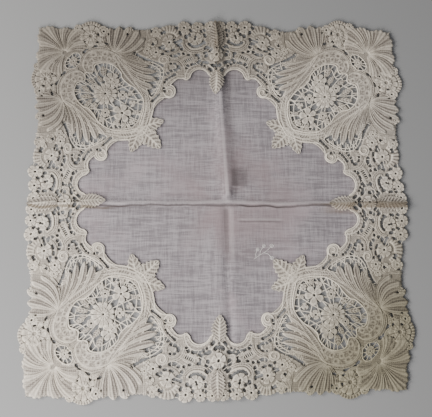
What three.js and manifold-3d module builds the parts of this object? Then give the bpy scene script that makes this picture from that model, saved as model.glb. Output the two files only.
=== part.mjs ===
// A lace handkerchief, opened out and laid flat: a square of fine linen let into a wide needle-lace border.
// Millimetres, +Z up. The middle of the handkerchief is at x = 0, y = 0 and its underside lies on z = 0.
// The border repeats one half of one side eight times round the square, so the tables below give only that
// half: x runs from the middle of the side towards the corner, and y from the handkerchief's middle outwards.
import * as THREE from "three";
import { mergeVertices } from "three/addons/utils/BufferGeometryUtils.js";
import Module from "manifold-3d";

const wasm = await Module();
wasm.setup();

// Driving dimensions.
const HALF_SIDE = 149.5; // middle to the straight part of the outer edge
const CLOTH = 1.0; // thickness of the linen and of the lace ground
const RAISED = 0.8; // how far the ribs and scrolls stand above the ground
const FURROW = 0.15; // height above the ground of the furrow between two ribs
const SEAM = 0.3; // gap between the linen and the lace sewn round it
const BAR = 1.2; // width of the bars that carry the flowers in an open space
const CUT = { low: -2, high: 9 }; // what cuts the cloth reaches past it both ways
const COLOURS = { linen: 0xd9d3d4, lace: 0xe4dcce };

const degrees = (angle) => (angle * Math.PI) / 180;
const between = (a, b, share) => [a[0] + (b[0] - a[0]) * share, a[1] + (b[1] - a[1]) * share];

// A corner is the same on both sides of its diagonal. A point there lies `along` the diagonal, outwards from
// the middle of the medallion, and `across` it.
const MEDALLION = [90, 90];
const onDiagonal = (along, across) => [
  MEDALLION[0] + (along - across) * Math.SQRT1_2,
  MEDALLION[1] + (along + across) * Math.SQRT1_2,
];

// Outlines: each is a list of [x, y] points.

const arc = ({ x, y, r, from, to, steps }) =>
  Array.from({ length: steps + 1 }, (_, i) => {
    const angle = degrees(from + ((to - from) * i) / steps);
    return [x + r * Math.cos(angle), y + r * Math.sin(angle)];
  });

// A round flower whose edge dips between its petals, with two points or three for a petal.
const flower = ({ x, y, r, petals, points = 3, dip = 0.16, turn = 0 }) =>
  Array.from({ length: petals * points }, (_, i) => {
    const angle = degrees(turn) + (i / (petals * points)) * 2 * Math.PI;
    const reach = i % points === 0 ? r * (1 - dip) : r;
    return [x + reach * Math.cos(angle), y + reach * Math.sin(angle)];
  });

// A leaf from root to tip, widest past its middle.
const LEAF = { rootShare: 0.34, bellyAt: 0.58 };
const leaf = ({ root, tip, width }) => {
  const length = Math.hypot(tip[0] - root[0], tip[1] - root[1]);
  const [nx, ny] = [(root[1] - tip[1]) / length, (tip[0] - root[0]) / length];
  const belly = between(root, tip, LEAF.bellyAt);
  const aside = ([x, y], off) => [x + nx * off, y + ny * off];
  return [
    aside(root, (LEAF.rootShare * width) / 2),
    aside(root, (-LEAF.rootShare * width) / 2),
    aside(belly, -width / 2),
    tip,
    aside(belly, width / 2),
  ];
};

// A scroll of constant width along a smooth path.
const scroll = ({ path, width, steps }) => {
  const curve = new THREE.CatmullRomCurve3(path.map(([x, y]) => new THREE.Vector3(x, y, 0)));
  const left = [];
  const right = [];
  for (let i = 0; i <= steps; i += 1) {
    const p = curve.getPoint(i / steps);
    const t = curve.getTangent(i / steps);
    left.push([p.x - (t.y * width) / 2, p.y + (t.x * width) / 2]);
    right.push([p.x + (t.y * width) / 2, p.y - (t.x * width) / 2]);
  }
  return [...left, ...right.reverse()];
};

const bar = ({ from, to }) => {
  const length = Math.hypot(to[0] - from[0], to[1] - from[1]);
  const nx = (-(to[1] - from[1]) / length) * (BAR / 2);
  const ny = ((to[0] - from[0]) / length) * (BAR / 2);
  return [
    [from[0] + nx, from[1] + ny],
    [from[0] - nx, from[1] - ny],
    [to[0] - nx, to[1] - ny],
    [to[0] + nx, to[1] + ny],
  ];
};

// The repeat: four copies of what sits on a corner's diagonal, and eight of what lies to one side of it.

const QUARTERS = [
  ([x, y]) => [x, y],
  ([x, y]) => [-x, y],
  ([x, y]) => [-x, -y],
  ([x, y]) => [x, -y],
];
const OCTANTS = QUARTERS.flatMap((turn) => [turn, ([x, y]) => turn([y, x])]);
const repeated = (turns, outlines) =>
  turns.flatMap((turn) => outlines.map((outline) => outline.map(turn)));

// The linen: its edge steps in and out along the lace. This is half a side of it, from the tip of the spray
// in the middle of the side to the tip of the leaf on the corner's diagonal.
const SPRAY_TIP = [0, 90.2];
const LEAF_TIP = [46.9, 46.9];
const LINEN_EDGE = [
  [3.2, 93.6],
  [5.6, 99.4],
  ...arc({ x: 14.3, y: 104.6, r: 8.3, from: 166, to: 14, steps: 5 }),
  [28.5, 105.6],
  [33.2, 104.9],
  ...arc({ x: 38.9, y: 94.6, r: 5.4, from: 104, to: 286, steps: 6 }),
  [46.4, 88.4],
  [50.6, 83.6],
  [51.5, 76.0],
  [49.6, 71.4],
  [42.3, 68.1],
  [45.2, 63.8],
  [49.6, 60.6],
  [44.6, 58.0],
  [45.6, 52.4],
];

const linenEdge = () => {
  const side = [SPRAY_TIP, ...LINEN_EDGE, LEAF_TIP, ...LINEN_EDGE.map(([x, y]) => [y, x]).reverse()];
  const turns = [
    ([x, y]) => [x, y],
    ([x, y]) => [y, -x],
    ([x, y]) => [-x, -y],
    ([x, y]) => [-y, x],
  ];
  return turns.flatMap((turn) => side.map(turn));
};

// The same outline moved outwards everywhere by `distance`. A sharp corner isn't stretched past twice that.
const grown = (outline, distance) =>
  outline.map(([x, y], i) => {
    const before = outline[(i + outline.length - 1) % outline.length];
    const after = outline[(i + 1) % outline.length];
    const a = new THREE.Vector2(x - before[0], y - before[1]).normalize();
    const b = new THREE.Vector2(after[0] - x, after[1] - y).normalize();
    const normal = new THREE.Vector2(-(a.y + b.y), a.x + b.x).normalize();
    const stretch = distance / Math.max(0.5, normal.dot(new THREE.Vector2(-a.y, a.x)));
    return [x + normal.x * stretch, y + normal.y * stretch];
  });

// The lace.

// Flowers and rosettes that make the scalloped outer edge.
const EDGE_FLOWERS = [
  { x: 4.4, y: 149.8, r: 4.4, petals: 4, turn: 10 },
  { x: 13.8, y: 149.4, r: 5.0, petals: 4, turn: 15 },
  { x: 23.6, y: 149.2, r: 5.1, petals: 4, turn: 40 },
  { x: 39.5, y: 142.2, r: 11.0, petals: 6, turn: 25 },
  { x: 54.6, y: 143.4, r: 8.0, petals: 5, turn: 55 },
  { x: 92.4, y: 146.6, r: 5.0, petals: 4, turn: 70 },
  { x: 103.6, y: 142.2, r: 11.8, petals: 7, turn: 10 },
];

// The palm leaf beside the medallion: its ribs spring from one line, and reach the outer edge on one side
// and the open ground on the other.
const PALM = { base: [86.5, 129.0], end: [57.0, 90.0], furrowReach: 0.74 };
const PALM_RIBS = [
  { root: 0.0, x: 92.0, y: 148.0 },
  { root: 0.02, x: 82.6, y: 151.6 },
  { root: 0.05, x: 73.4, y: 151.8 },
  { root: 0.08, x: 65.0, y: 149.2 },
  { root: 0.12, x: 58.8, y: 141.4 },
  { root: 0.18, x: 55.6, y: 131.2 },
  { root: 0.26, x: 52.4, y: 121.4 },
  { root: 0.4, x: 49.6, y: 111.6 },
  { root: 0.6, x: 49.4, y: 101.2 },
  { root: 0.85, x: 52.6, y: 91.2 },
];

// The leaf that fills the corner: its ribs run from one point to the two edges, shorter towards the medallion.
const FAN = {
  centre: 127,
  hub: 3.0,
  edge: 151.6,
  ribs: 17,
  from: -84,
  to: 174,
  inward: 20,
  furrowReach: 0.93,
};

// The spray in the middle of a side: one feather points inwards and a wider one out.
const SPRAY = [
  { root: [0, 121], tip: [0, 91], width: 12.4 },
  { root: [0, 126], tip: [0, 154], width: 15 },
];

// The arch over the linen, and the round curl between it and the palm leaf, which stand above the ground.
const ARCH = {
  path: arc({ x: 14.3, y: 104.6, r: 10.6, from: 176, to: 4, steps: 5 }),
  width: 3.0,
  steps: 5,
};
const CURL = arc({ x: 36.6, y: 114.0, r: 7.2, from: 0, to: 320, steps: 8 });
// The scroll round the inner side of the medallion.
const RIM_HALF = [
  [57.8, 88.0],
  [57.0, 78.0],
  [58.4, 68.0],
];
const RIM = {
  path: [...RIM_HALF, [62, 62], ...RIM_HALF.map(([x, y]) => [y, x]).reverse()],
  width: 6.4,
  steps: 6,
};
const LOBES = [-1, 1].map((side) => {
  const [x, y] = onDiagonal(28.6, side * 6.9);
  return arc({ x, y, r: 7.2, from: 0, to: 324, steps: 9 });
});

// The opening of the medallion, from its inner end to its outer end, on one side of the diagonal.
const OPENING = [
  { along: -36.0, across: 4.0 },
  { along: -30.0, across: 12.2 },
  { along: -22.0, across: 18.4 },
  { along: -8.0, across: 19.6 },
  { along: 4.0, across: 19.6 },
  { along: 14.0, across: 21.4 },
  { along: 21.5, across: 18.6 },
  { along: 25.5, across: 14.0 },
];
const medallionOpening = () => [
  onDiagonal(-38, 0),
  ...OPENING.map(({ along, across }) => onDiagonal(along, -across)),
  onDiagonal(31, 0),
  ...OPENING.map(({ along, across }) => onDiagonal(along, across)).reverse(),
];

// What stands in the medallion.
const MEDALLION_FLOWERS = [
  { x: 90.5, y: 91.0, r: 10.6, petals: 10, points: 2, dip: 0.2 },
  { x: 75.2, y: 75.6, r: 8.2, petals: 6, turn: 20 },
  { x: 73.4, y: 90.4, r: 4.2, petals: 4, points: 2 },
  { x: 89.4, y: 73.0, r: 4.0, petals: 4, points: 2, turn: 30 },
  { x: 68.0, y: 66.9, r: 3.6, petals: 3, points: 2, turn: 10 },
];
const MEDALLION_LEAVES = [
  { root: [98, 92], tip: [117, 89.4], width: 7.0 },
  { root: [97, 97], tip: [108.4, 103.6], width: 6.6 },
  { root: [94, 99], tip: [99.4, 113.6], width: 6.4 },
  { root: [89, 100], tip: [88.0, 116.2], width: 6.0 },
];
// The bars run out from the large flower, at these angles.
const MEDALLION_BARS = [-38, -12, 18, 45, 77, 106, 133, 161, 192, 225, 257, 290];
const BAR_REACH = 48;
const medallionBars = () =>
  MEDALLION_BARS.map((angle) => {
    const { x, y } = MEDALLION_FLOWERS[0];
    const to = [x + BAR_REACH * Math.cos(degrees(angle)), y + BAR_REACH * Math.sin(degrees(angle))];
    return bar({ from: [x, y], to });
  });

// The open ground at the tips of the palm leaf, with the bars that cross it.
const TIP_GROUND = [
  [44.4, 109.6],
  [46.0, 117.0],
  [51.0, 122.4],
  [64.0, 126.0],
  [66.0, 110.0],
  [58.4, 92.6],
  [53.4, 88.8],
  [48.6, 93.4],
  [45.6, 101.0],
];
const TIP_BARS = [
  { from: [42, 113.0], to: [60, 110.4] },
  { from: [42, 103.0], to: [60, 103.4] },
  { from: [45, 92.4], to: [58, 95.0] },
];

// Other openings to one side of a corner's diagonal, and those on both sides of it.
const SIDE_OPENINGS = [
  [[17.0, 124.6], [23.0, 119.4], [29.6, 117.6], [27.0, 122.6]],
  [[30.8, 129.6], [36.8, 132.0], [43.6, 129.0], [37.0, 129.2]],
  [[29.4, 133.4], [31.8, 137.0], [28.6, 142.6], [27.2, 137.0]],
  [[4.6, 113.2], [9.8, 118.6], [8.0, 121.4], [3.8, 117.4]],
  [[6.6, 143.8], [11.6, 141.0], [9.2, 138.4]],
  [[4.6, 128.4], [10.6, 123.4], [11.8, 126.6]],
];
const CORNER_OPENINGS = [
  [[108.6, 122.4], [114.2, 121.6], [113.4, 127.4]],
  [[96.6, 128.0], [107.2, 130.2], [99.0, 131.6]],
];

// Solids.

const solid = (geometry) => {
  geometry.deleteAttribute("normal");
  geometry.deleteAttribute("uv");
  const merged = mergeVertices(geometry, 1e-4);
  return new wasm.Manifold(
    new wasm.Mesh({
      numProp: 3,
      vertProperties: new Float32Array(merged.attributes.position.array),
      triVerts: new Uint32Array(merged.index.array),
    }),
  );
};
const joined = (solids) => solids.reduce((all, one) => all.add(one));

// An outline raised from well below the cloth to well above it.
const post = (outline) => {
  const shape = new THREE.Shape(outline.map(([x, y]) => new THREE.Vector2(x, y)));
  const geometry = new THREE.ExtrudeGeometry(shape, { depth: CUT.high - CUT.low, bevelEnabled: false });
  return solid(geometry.translate(0, 0, CUT.low));
};
const posts = (outlines) => joined(outlines.map(post));

// The cloth's lie: it was folded in four, and the two creases still stand a little off the table.
const CREASE = { x: 6.5, y: -1.2, lean: -0.022 }; // where they cross, and how far the upright one leans
const EDGE_OF_SHEET = 170;
const ACROSS = [
  { at: -EDGE_OF_SHEET, lift: 0 },
  { at: -8, lift: 0 },
  { at: 0, lift: 2.6 },
  { at: 5, lift: 0.7 },
  { at: 14, lift: 0 },
  { at: EDGE_OF_SHEET, lift: 0 },
];
const UPWARD = [
  { at: -EDGE_OF_SHEET, lift: 0 },
  { at: -7, lift: 0 },
  { at: 0, lift: 2.4 },
  { at: 8, lift: 0 },
  { at: EDGE_OF_SHEET, lift: 0 },
];

// A sheet on those creases, between two heights above the table's side of the cloth.
const sheet = (low, high) => {
  const geometry = new THREE.BoxGeometry(1, 1, 1, ACROSS.length - 1, UPWARD.length - 1, 1);
  const place = geometry.getAttribute("position");
  for (let i = 0; i < place.count; i += 1) {
    const column = ACROSS[Math.round((place.getX(i) + 0.5) * (ACROSS.length - 1))];
    const row = UPWARD[Math.round((place.getY(i) + 0.5) * (UPWARD.length - 1))];
    const y = CREASE.y + row.at;
    const lift = Math.max(column.lift, row.lift);
    place.setXYZ(i, CREASE.x + CREASE.lean * y + column.at, y, lift + (place.getZ(i) > 0 ? high : low));
  }
  return solid(geometry);
};

// A ribbed leaf: each rib is a ridge from its root to its tip, with a furrow before and after it.
const ribLines = (ribs, furrowReach) => {
  const lines = [];
  ribs.forEach((rib, i) => {
    lines.push({ ...rib, ridge: true });
    if (i + 1 < ribs.length) {
      const root = between(rib.root, ribs[i + 1].root, 0.5);
      const tip = between(root, between(rib.tip, ribs[i + 1].tip, 0.5), furrowReach);
      lines.push({ root, tip, ridge: false });
    }
  });
  return lines;
};
const ribbedOutline = (lines) => [
  ...lines.map(({ root }) => root),
  ...lines.map(({ tip }) => tip).reverse(),
];
const ribbedLeaf = (lines, turn) => {
  const geometry = new THREE.BoxGeometry(1, 1, 1, lines.length - 1, 1, 1);
  const place = geometry.getAttribute("position");
  const height = { ridge: CLOTH + RAISED, furrow: CLOTH + FURROW };
  for (let i = 0; i < place.count; i += 1) {
    const line = lines[Math.round((place.getX(i) + 0.5) * (lines.length - 1))];
    const [x, y] = turn(place.getY(i) > 0 ? line.tip : line.root);
    const top = line.ridge ? height.ridge : height.furrow;
    place.setXYZ(i, x, y, place.getZ(i) > 0 ? top : CLOTH / 2);
  }
  const [a, b, c] = [lines[0].root, lines[1].root, lines[0].tip].map(turn);
  const turnsLeft = (b[0] - a[0]) * (c[1] - a[1]) - (b[1] - a[1]) * (c[0] - a[0]) > 0;
  if (!turnsLeft) {
    geometry.setIndex([...geometry.index.array].reverse());
  }
  return solid(geometry);
};

const palm = () =>
  ribLines(
    PALM_RIBS.map(({ root, x, y }) => ({ root: between(PALM.base, PALM.end, root), tip: [x, y] })),
    PALM.furrowReach,
  );
const fan = () => {
  const room = FAN.edge - FAN.centre;
  const ribs = Array.from({ length: FAN.ribs }, (_, i) => {
    const angle = degrees(FAN.from + ((FAN.to - FAN.from) * i) / (FAN.ribs - 1));
    const [c, s] = [Math.cos(angle), Math.sin(angle)];
    const reach = Math.min(
      room / Math.max(c, s, 0.01),
      Math.min(c, s) < 0 ? FAN.inward / Math.max(0.72, -Math.min(c, s)) : Infinity,
    );
    return {
      root: [FAN.centre + FAN.hub * c, FAN.centre + FAN.hub * s],
      tip: [FAN.centre + reach * c, FAN.centre + reach * s],
    };
  });
  return ribLines(ribs, FAN.furrowReach);
};

const sprays = () =>
  SPRAY.map(leaf).flatMap((outline) =>
    [
      ([x, y]) => [x, y],
      ([x, y]) => [y, x],
      ([x, y]) => [x, -y],
      ([x, y]) => [-y, x],
    ].map((turn) => outline.map(turn)),
  );

const laceBorder = () => {
  const square = [
    [-HALF_SIDE, -HALF_SIDE],
    [HALF_SIDE, -HALF_SIDE],
    [HALF_SIDE, HALF_SIDE],
    [-HALF_SIDE, HALF_SIDE],
  ];
  const openings = posts([
    ...repeated(QUARTERS, [medallionOpening()]),
    ...repeated(OCTANTS, [TIP_GROUND, ...SIDE_OPENINGS, ...CORNER_OPENINGS]),
  ]);
  const standing = posts([
    ...repeated(QUARTERS, [
      ...medallionBars(),
      ...MEDALLION_FLOWERS.map(flower),
      ...MEDALLION_LEAVES.map(leaf),
      ...LOBES,
    ]),
    ...repeated(OCTANTS, [...TIP_BARS.map(bar), ribbedOutline(palm())]),
    ...sprays(),
  ]);
  const outside = posts([
    square,
    ...repeated(OCTANTS, EDGE_FLOWERS.map(flower)),
    ...repeated(OCTANTS, [ribbedOutline(palm())]),
    ...repeated(QUARTERS, [ribbedOutline(fan())]),
    ...sprays(),
  ]);
  const plan = outside.subtract(openings.subtract(standing)).subtract(post(grown(linenEdge(), SEAM)));

  const raised = posts([
    ...repeated(QUARTERS, [scroll(RIM)]),
    ...repeated(OCTANTS, [scroll(ARCH), CURL]),
    ...sprays(),
  ]);
  const plain = sheet(CLOTH, CLOTH + 2 * RAISED).subtract(raised);
  const relief = joined([
    sheet(0, CLOTH + RAISED).subtract(plain),
    ...OCTANTS.map((turn) => ribbedLeaf(palm(), turn)),
    ...QUARTERS.map((turn) => ribbedLeaf(fan(), turn)),
  ]);
  return relief.intersect(plan);
};

const linen = () => sheet(0, CLOTH).intersect(post(linenEdge()));

// Hand-made lace is never quite square: each edge bulges or draws in by `out` at the place `at` along it,
// and all the work wavers a little.
const EDGES = {
  top: [
    { at: -150, out: -1.5 },
    { at: -75, out: -2.6 },
    { at: -20, out: 0.6 },
    { at: 25, out: 1.6 },
    { at: 52, out: -1.4 },
    { at: 105, out: 1.8 },
    { at: 150, out: -1.4 },
  ],
  bottom: [
    { at: -150, out: 2.0 },
    { at: -102, out: 3.8 },
    { at: -65, out: 1.8 },
    { at: 0, out: 3.8 },
    { at: 50, out: -0.4 },
    { at: 100, out: 1.0 },
    { at: 150, out: -0.8 },
  ],
  right: [
    { at: -150, out: -1.4 },
    { at: -100, out: 1.0 },
    { at: -60, out: -2.4 },
    { at: -8, out: 0.8 },
    { at: 22, out: -1.8 },
    { at: 75, out: 0 },
    { at: 150, out: -1.4 },
  ],
  left: [
    { at: -150, out: -1.4 },
    { at: -112, out: 1.0 },
    { at: -75, out: -3.6 },
    { at: -20, out: -1.0 },
    { at: 20, out: -2.6 },
    { at: 65, out: -5.6 },
    { at: 102, out: -2.6 },
    { at: 150, out: -3.2 },
  ],
};
const BULGE_STARTS = 92; // the bulges fade out this far from the middle
const WAVER = { size: 0.7, wave: 17 };

const bulge = (edge, along) => {
  const after = edge.findIndex(({ at }) => at > along);
  if (after <= 0) {
    return edge[after === 0 ? 0 : edge.length - 1].out;
  }
  const [a, b] = [edge[after - 1], edge[after]];
  return a.out + (b.out - a.out) * THREE.MathUtils.smoothstep(along, a.at, b.at);
};
const uneven = (here, along, lowEdge, highEdge) => {
  const share = THREE.MathUtils.smoothstep(Math.abs(here), BULGE_STARTS, HALF_SIDE);
  const out = here > 0 ? bulge(highEdge, along) : -bulge(lowEdge, along);
  return here + out * share + WAVER.size * Math.sin(along / WAVER.wave + 1);
};

// The finished pieces.

const mesh = (name, body, colour, roughness) => {
  const made = body.getMesh();
  const place = new Float32Array(made.numVert * 3);
  for (let i = 0; i < made.numVert; i += 1) {
    const [x, y, z] = made.vertProperties.slice(i * made.numProp, i * made.numProp + 3);
    place.set(
      [uneven(x, y, EDGES.left, EDGES.right), uneven(y, x, EDGES.bottom, EDGES.top), z],
      i * 3,
    );
  }
  const geometry = new THREE.BufferGeometry()
    .setAttribute("position", new THREE.BufferAttribute(place, 3))
    .setIndex(new THREE.BufferAttribute(made.triVerts, 1));
  const material = new THREE.MeshStandardMaterial({ color: colour, roughness, metalness: 0 });
  const result = new THREE.Mesh(geometry, material);
  result.name = name;
  return result;
};

const handkerchief = new THREE.Group();
handkerchief.add(mesh("linen_centre", linen(), COLOURS.linen, 0.85));
handkerchief.add(mesh("lace_border", laceBorder(), COLOURS.lace, 0.9));

// The middle of the whole outline goes to x = 0, y = 0.
const middle = new THREE.Box3().setFromObject(handkerchief).getCenter(new THREE.Vector3());
handkerchief.position.set(-middle.x, -middle.y, 0);

export default handkerchief;
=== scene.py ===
"""A lace handkerchief laid out flat: sheer linen let into a wide border of needle lace.

The lace is worked flat, in millimetres, for one quarter of the square, and laid out four times. Half of that
quarter is worked once and mirrored on the corner's diagonal: there x runs from the middle of a side towards
the corner, and y from the middle of the handkerchief outwards.
"""

import math
import random

import bmesh
import bpy
import numpy as np
from mathutils import Matrix, Vector


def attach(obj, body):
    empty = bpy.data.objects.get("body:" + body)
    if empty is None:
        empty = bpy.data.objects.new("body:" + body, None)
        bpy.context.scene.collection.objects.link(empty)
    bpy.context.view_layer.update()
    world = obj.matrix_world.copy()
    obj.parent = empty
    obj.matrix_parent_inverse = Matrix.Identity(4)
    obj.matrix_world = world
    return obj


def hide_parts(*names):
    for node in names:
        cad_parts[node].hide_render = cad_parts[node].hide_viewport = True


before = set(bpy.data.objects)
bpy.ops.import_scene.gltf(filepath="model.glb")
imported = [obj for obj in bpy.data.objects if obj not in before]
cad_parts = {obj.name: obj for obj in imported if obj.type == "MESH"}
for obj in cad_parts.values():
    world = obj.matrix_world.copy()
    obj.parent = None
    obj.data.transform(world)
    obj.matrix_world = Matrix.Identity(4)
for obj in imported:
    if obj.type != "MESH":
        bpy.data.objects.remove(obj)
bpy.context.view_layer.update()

MM = 0.001
HALF_SIDE = 149.5
# Where the pattern's middle lies. The frame's origin is the middle of the whole outline, which is uneven.
OFF_CENTRE = (-0.881, 0.660)
# The grids that cloth is cut from: the pitch of the mesh, and how far it reaches from the middle.
GRIDS = {"linen": {"pitch": 1.9, "reach": 118}, "ground": {"pitch": 0.78, "reach": 152.4}}
# Above the table, before any relief.
HEIGHT = {
    "linen": 0.34,
    "sprig": 0.36,
    "ground": 1.05,
    "cord": 1.10,
    "leaf": 1.22,
    "scroll": 1.28,
    "flower": 1.30,
}
THICKNESS = {"linen": 0.22, "ground": 0.85, "lace": 0.32}
# How far each kind of stitch stands up from the work around it.
RELIEF = {
    "palm rib": 0.65,
    "corner rib": 0.70,
    "cap rib": 0.40,
    "small petal": 0.20,
    "petal": 0.34,
    "pad rim": 0.36,
    "pad dot": 0.12,
    "scroll rim": 0.40,
    "cross stitch": 0.16,
    "eyelet ring": 0.22,
    "eyelet": 0.12,
    "barb": 0.42,
    "ground rim": 0.34,
    "ground dot": 0.14,
}
COLOURS = {
    "lace light": (0.775, 0.700, 0.590),
    "lace shade": (0.165, 0.140, 0.122),
    "lace warm": (0.560, 0.475, 0.330),
    "linen light": (0.366, 0.331, 0.342),
    "linen dark": (0.200, 0.176, 0.187),
    "linen pink": (0.345, 0.275, 0.288),
    # A brown for the real staining along the level fold, used also as painted shade of the folds on the lace.
    "stain": (0.110, 0.080, 0.048),
    "seeped": (0.230, 0.155, 0.100),
    # The next two are painted light of the folds: a highlight on their crests, and shade beside them.
    "crest": (0.560, 0.500, 0.500),
    "crease": (0.085, 0.068, 0.068),
    "blush": (0.270, 0.200, 0.205),
    "white thread": (0.66, 0.63, 0.60),
    "floor": (0.272, 0.270, 0.268),
    "daylight": (0.92, 0.95, 1.0),
}
# What each tone multiplies the colour by where it is strongest: painted shade over the top and over the top
# left, and the yellowing of the bottom right corner, darkened further as painted shade.
AGEING_AND_PAINTED_SHADE = {
    "dusky": (0.80, 0.785, 0.755),
    "dim": (0.42, 0.412, 0.405),
    "yellowed": (0.395, 0.388, 0.305),
}
random.seed(7)


# Paths and outlines, in millimetres.


def arc(x, y, r, start, end, steps):
    turn = np.radians(np.linspace(start, end, steps + 1))
    return [(x + r * math.cos(t), y + r * math.sin(t)) for t in turn]


def ring(x, y, radius, steps):
    return arc(x, y, radius, 0, 360 - 360 / steps, steps - 1)


def swapped(points):
    return [(y, x) for x, y in points]


def between(start, end, share):
    return start[0] + (end[0] - start[0]) * share, start[1] + (end[1] - start[1]) * share


def on_diagonal(along, across):
    """A place given from the medallion's middle, along the diagonal and across it."""
    return 90 + (along - across) * math.sqrt(0.5), 90 + (along + across) * math.sqrt(0.5)


def smooth_path(points, steps, closed=False):
    """A smooth curve through the points, as an array of steps + 1 points evenly spaced along it."""
    p = np.array(points, float)
    if closed:
        p = np.vstack([p[-1:], p, p[:2]])
    else:
        p = np.vstack([2 * p[0] - p[1], p, 2 * p[-1] - p[-2]])
    t = np.linspace(0, 1, 12, endpoint=False)[:, None]
    parts = [
        0.5 * (2 * b + (c - a) * t + (2 * a - 5 * b + 4 * c - d) * t**2 + (3 * b - a - 3 * c + d) * t**3)
        for a, b, c, d in zip(p, p[1:], p[2:], p[3:])
    ]
    fine = np.vstack([*parts, p[-2:-1]])
    gone = np.concatenate([[0], np.cumsum(np.hypot(*np.diff(fine, axis=0).T))])
    at = np.linspace(0, gone[-1], steps + 1)
    return np.stack([np.interp(at, gone, fine[:, 0]), np.interp(at, gone, fine[:, 1])], axis=1)


def length_of(path):
    return float(np.hypot(*np.diff(np.array(path, float), axis=0).T).sum())


# The linen's edge along the lace: half a side, from under the middle spray to under the vine leaf.
LINEN_EDGE = [
    (0, 103.0), (3.0, 104.4), (5.2, 107.0), *arc(14.6, 104.8, 8.6, 160, 14, 8), (25.0, 104.4),
    (28.5, 105.4), (33.2, 104.9), *arc(38.9, 94.6, 5.4, 104, 286, 9), (46.4, 88.4), (50.6, 83.6),
    (51.6, 76.0), (52.6, 69.4), (55.2, 62.6), (57.6, 57.6),
]

# A point of the linen's edge past the middle, so that the quarter's mesh isn't drawn in there.
PAST_MIDDLE = (-9, 90.2)
LINEN_UNDER_LACE = 1.2

# The lace ground's outer edge: its reach, how much further it goes near the middle, and its small arches.
OUTER_EDGE = {"reach": 149.2, "further": 1.6, "arch": 0.9, "arch width": 2.7}

# The medallion's opening, from its inner end to its outer end: along the diagonal, and to one side of it.
OPENING_HALF = [
    (-38.0, 0.0), (-36.0, 4.5), (-30.5, 12.6), (-22.5, 19.0), (-12.0, 20.4), (-6.0, 19.0), (2.0, 19.2),
    (6.0, 21.6), (14.0, 22.0), (20.5, 19.6), (24.5, 15.0), (25.5, 11.0), (22.6, 5.0), (26.6, 0.0),
]

# The open ground at the tips of the palm leaf.
TIP_GROUND = [
    (43.8, 108.6), (45.2, 114.6), (50.6, 119.6), (57.0, 121.6), (62.0, 118.0), (60.0, 106.0), (57.6, 95.6),
    (54.4, 89.4), (51.0, 90.6), (47.6, 96.4), (45.0, 102.6),
]

# The open ground between the medallion and the corner leaf.
CORNER_GROUND = [
    (113.6, 118.0), (113.6, 124.2), (116.8, 127.0), (121.6, 126.0), (126.0, 121.6), (127.0, 116.8),
    (124.2, 113.6), (118.0, 113.6), (116.0, 116.0),
]

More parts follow.
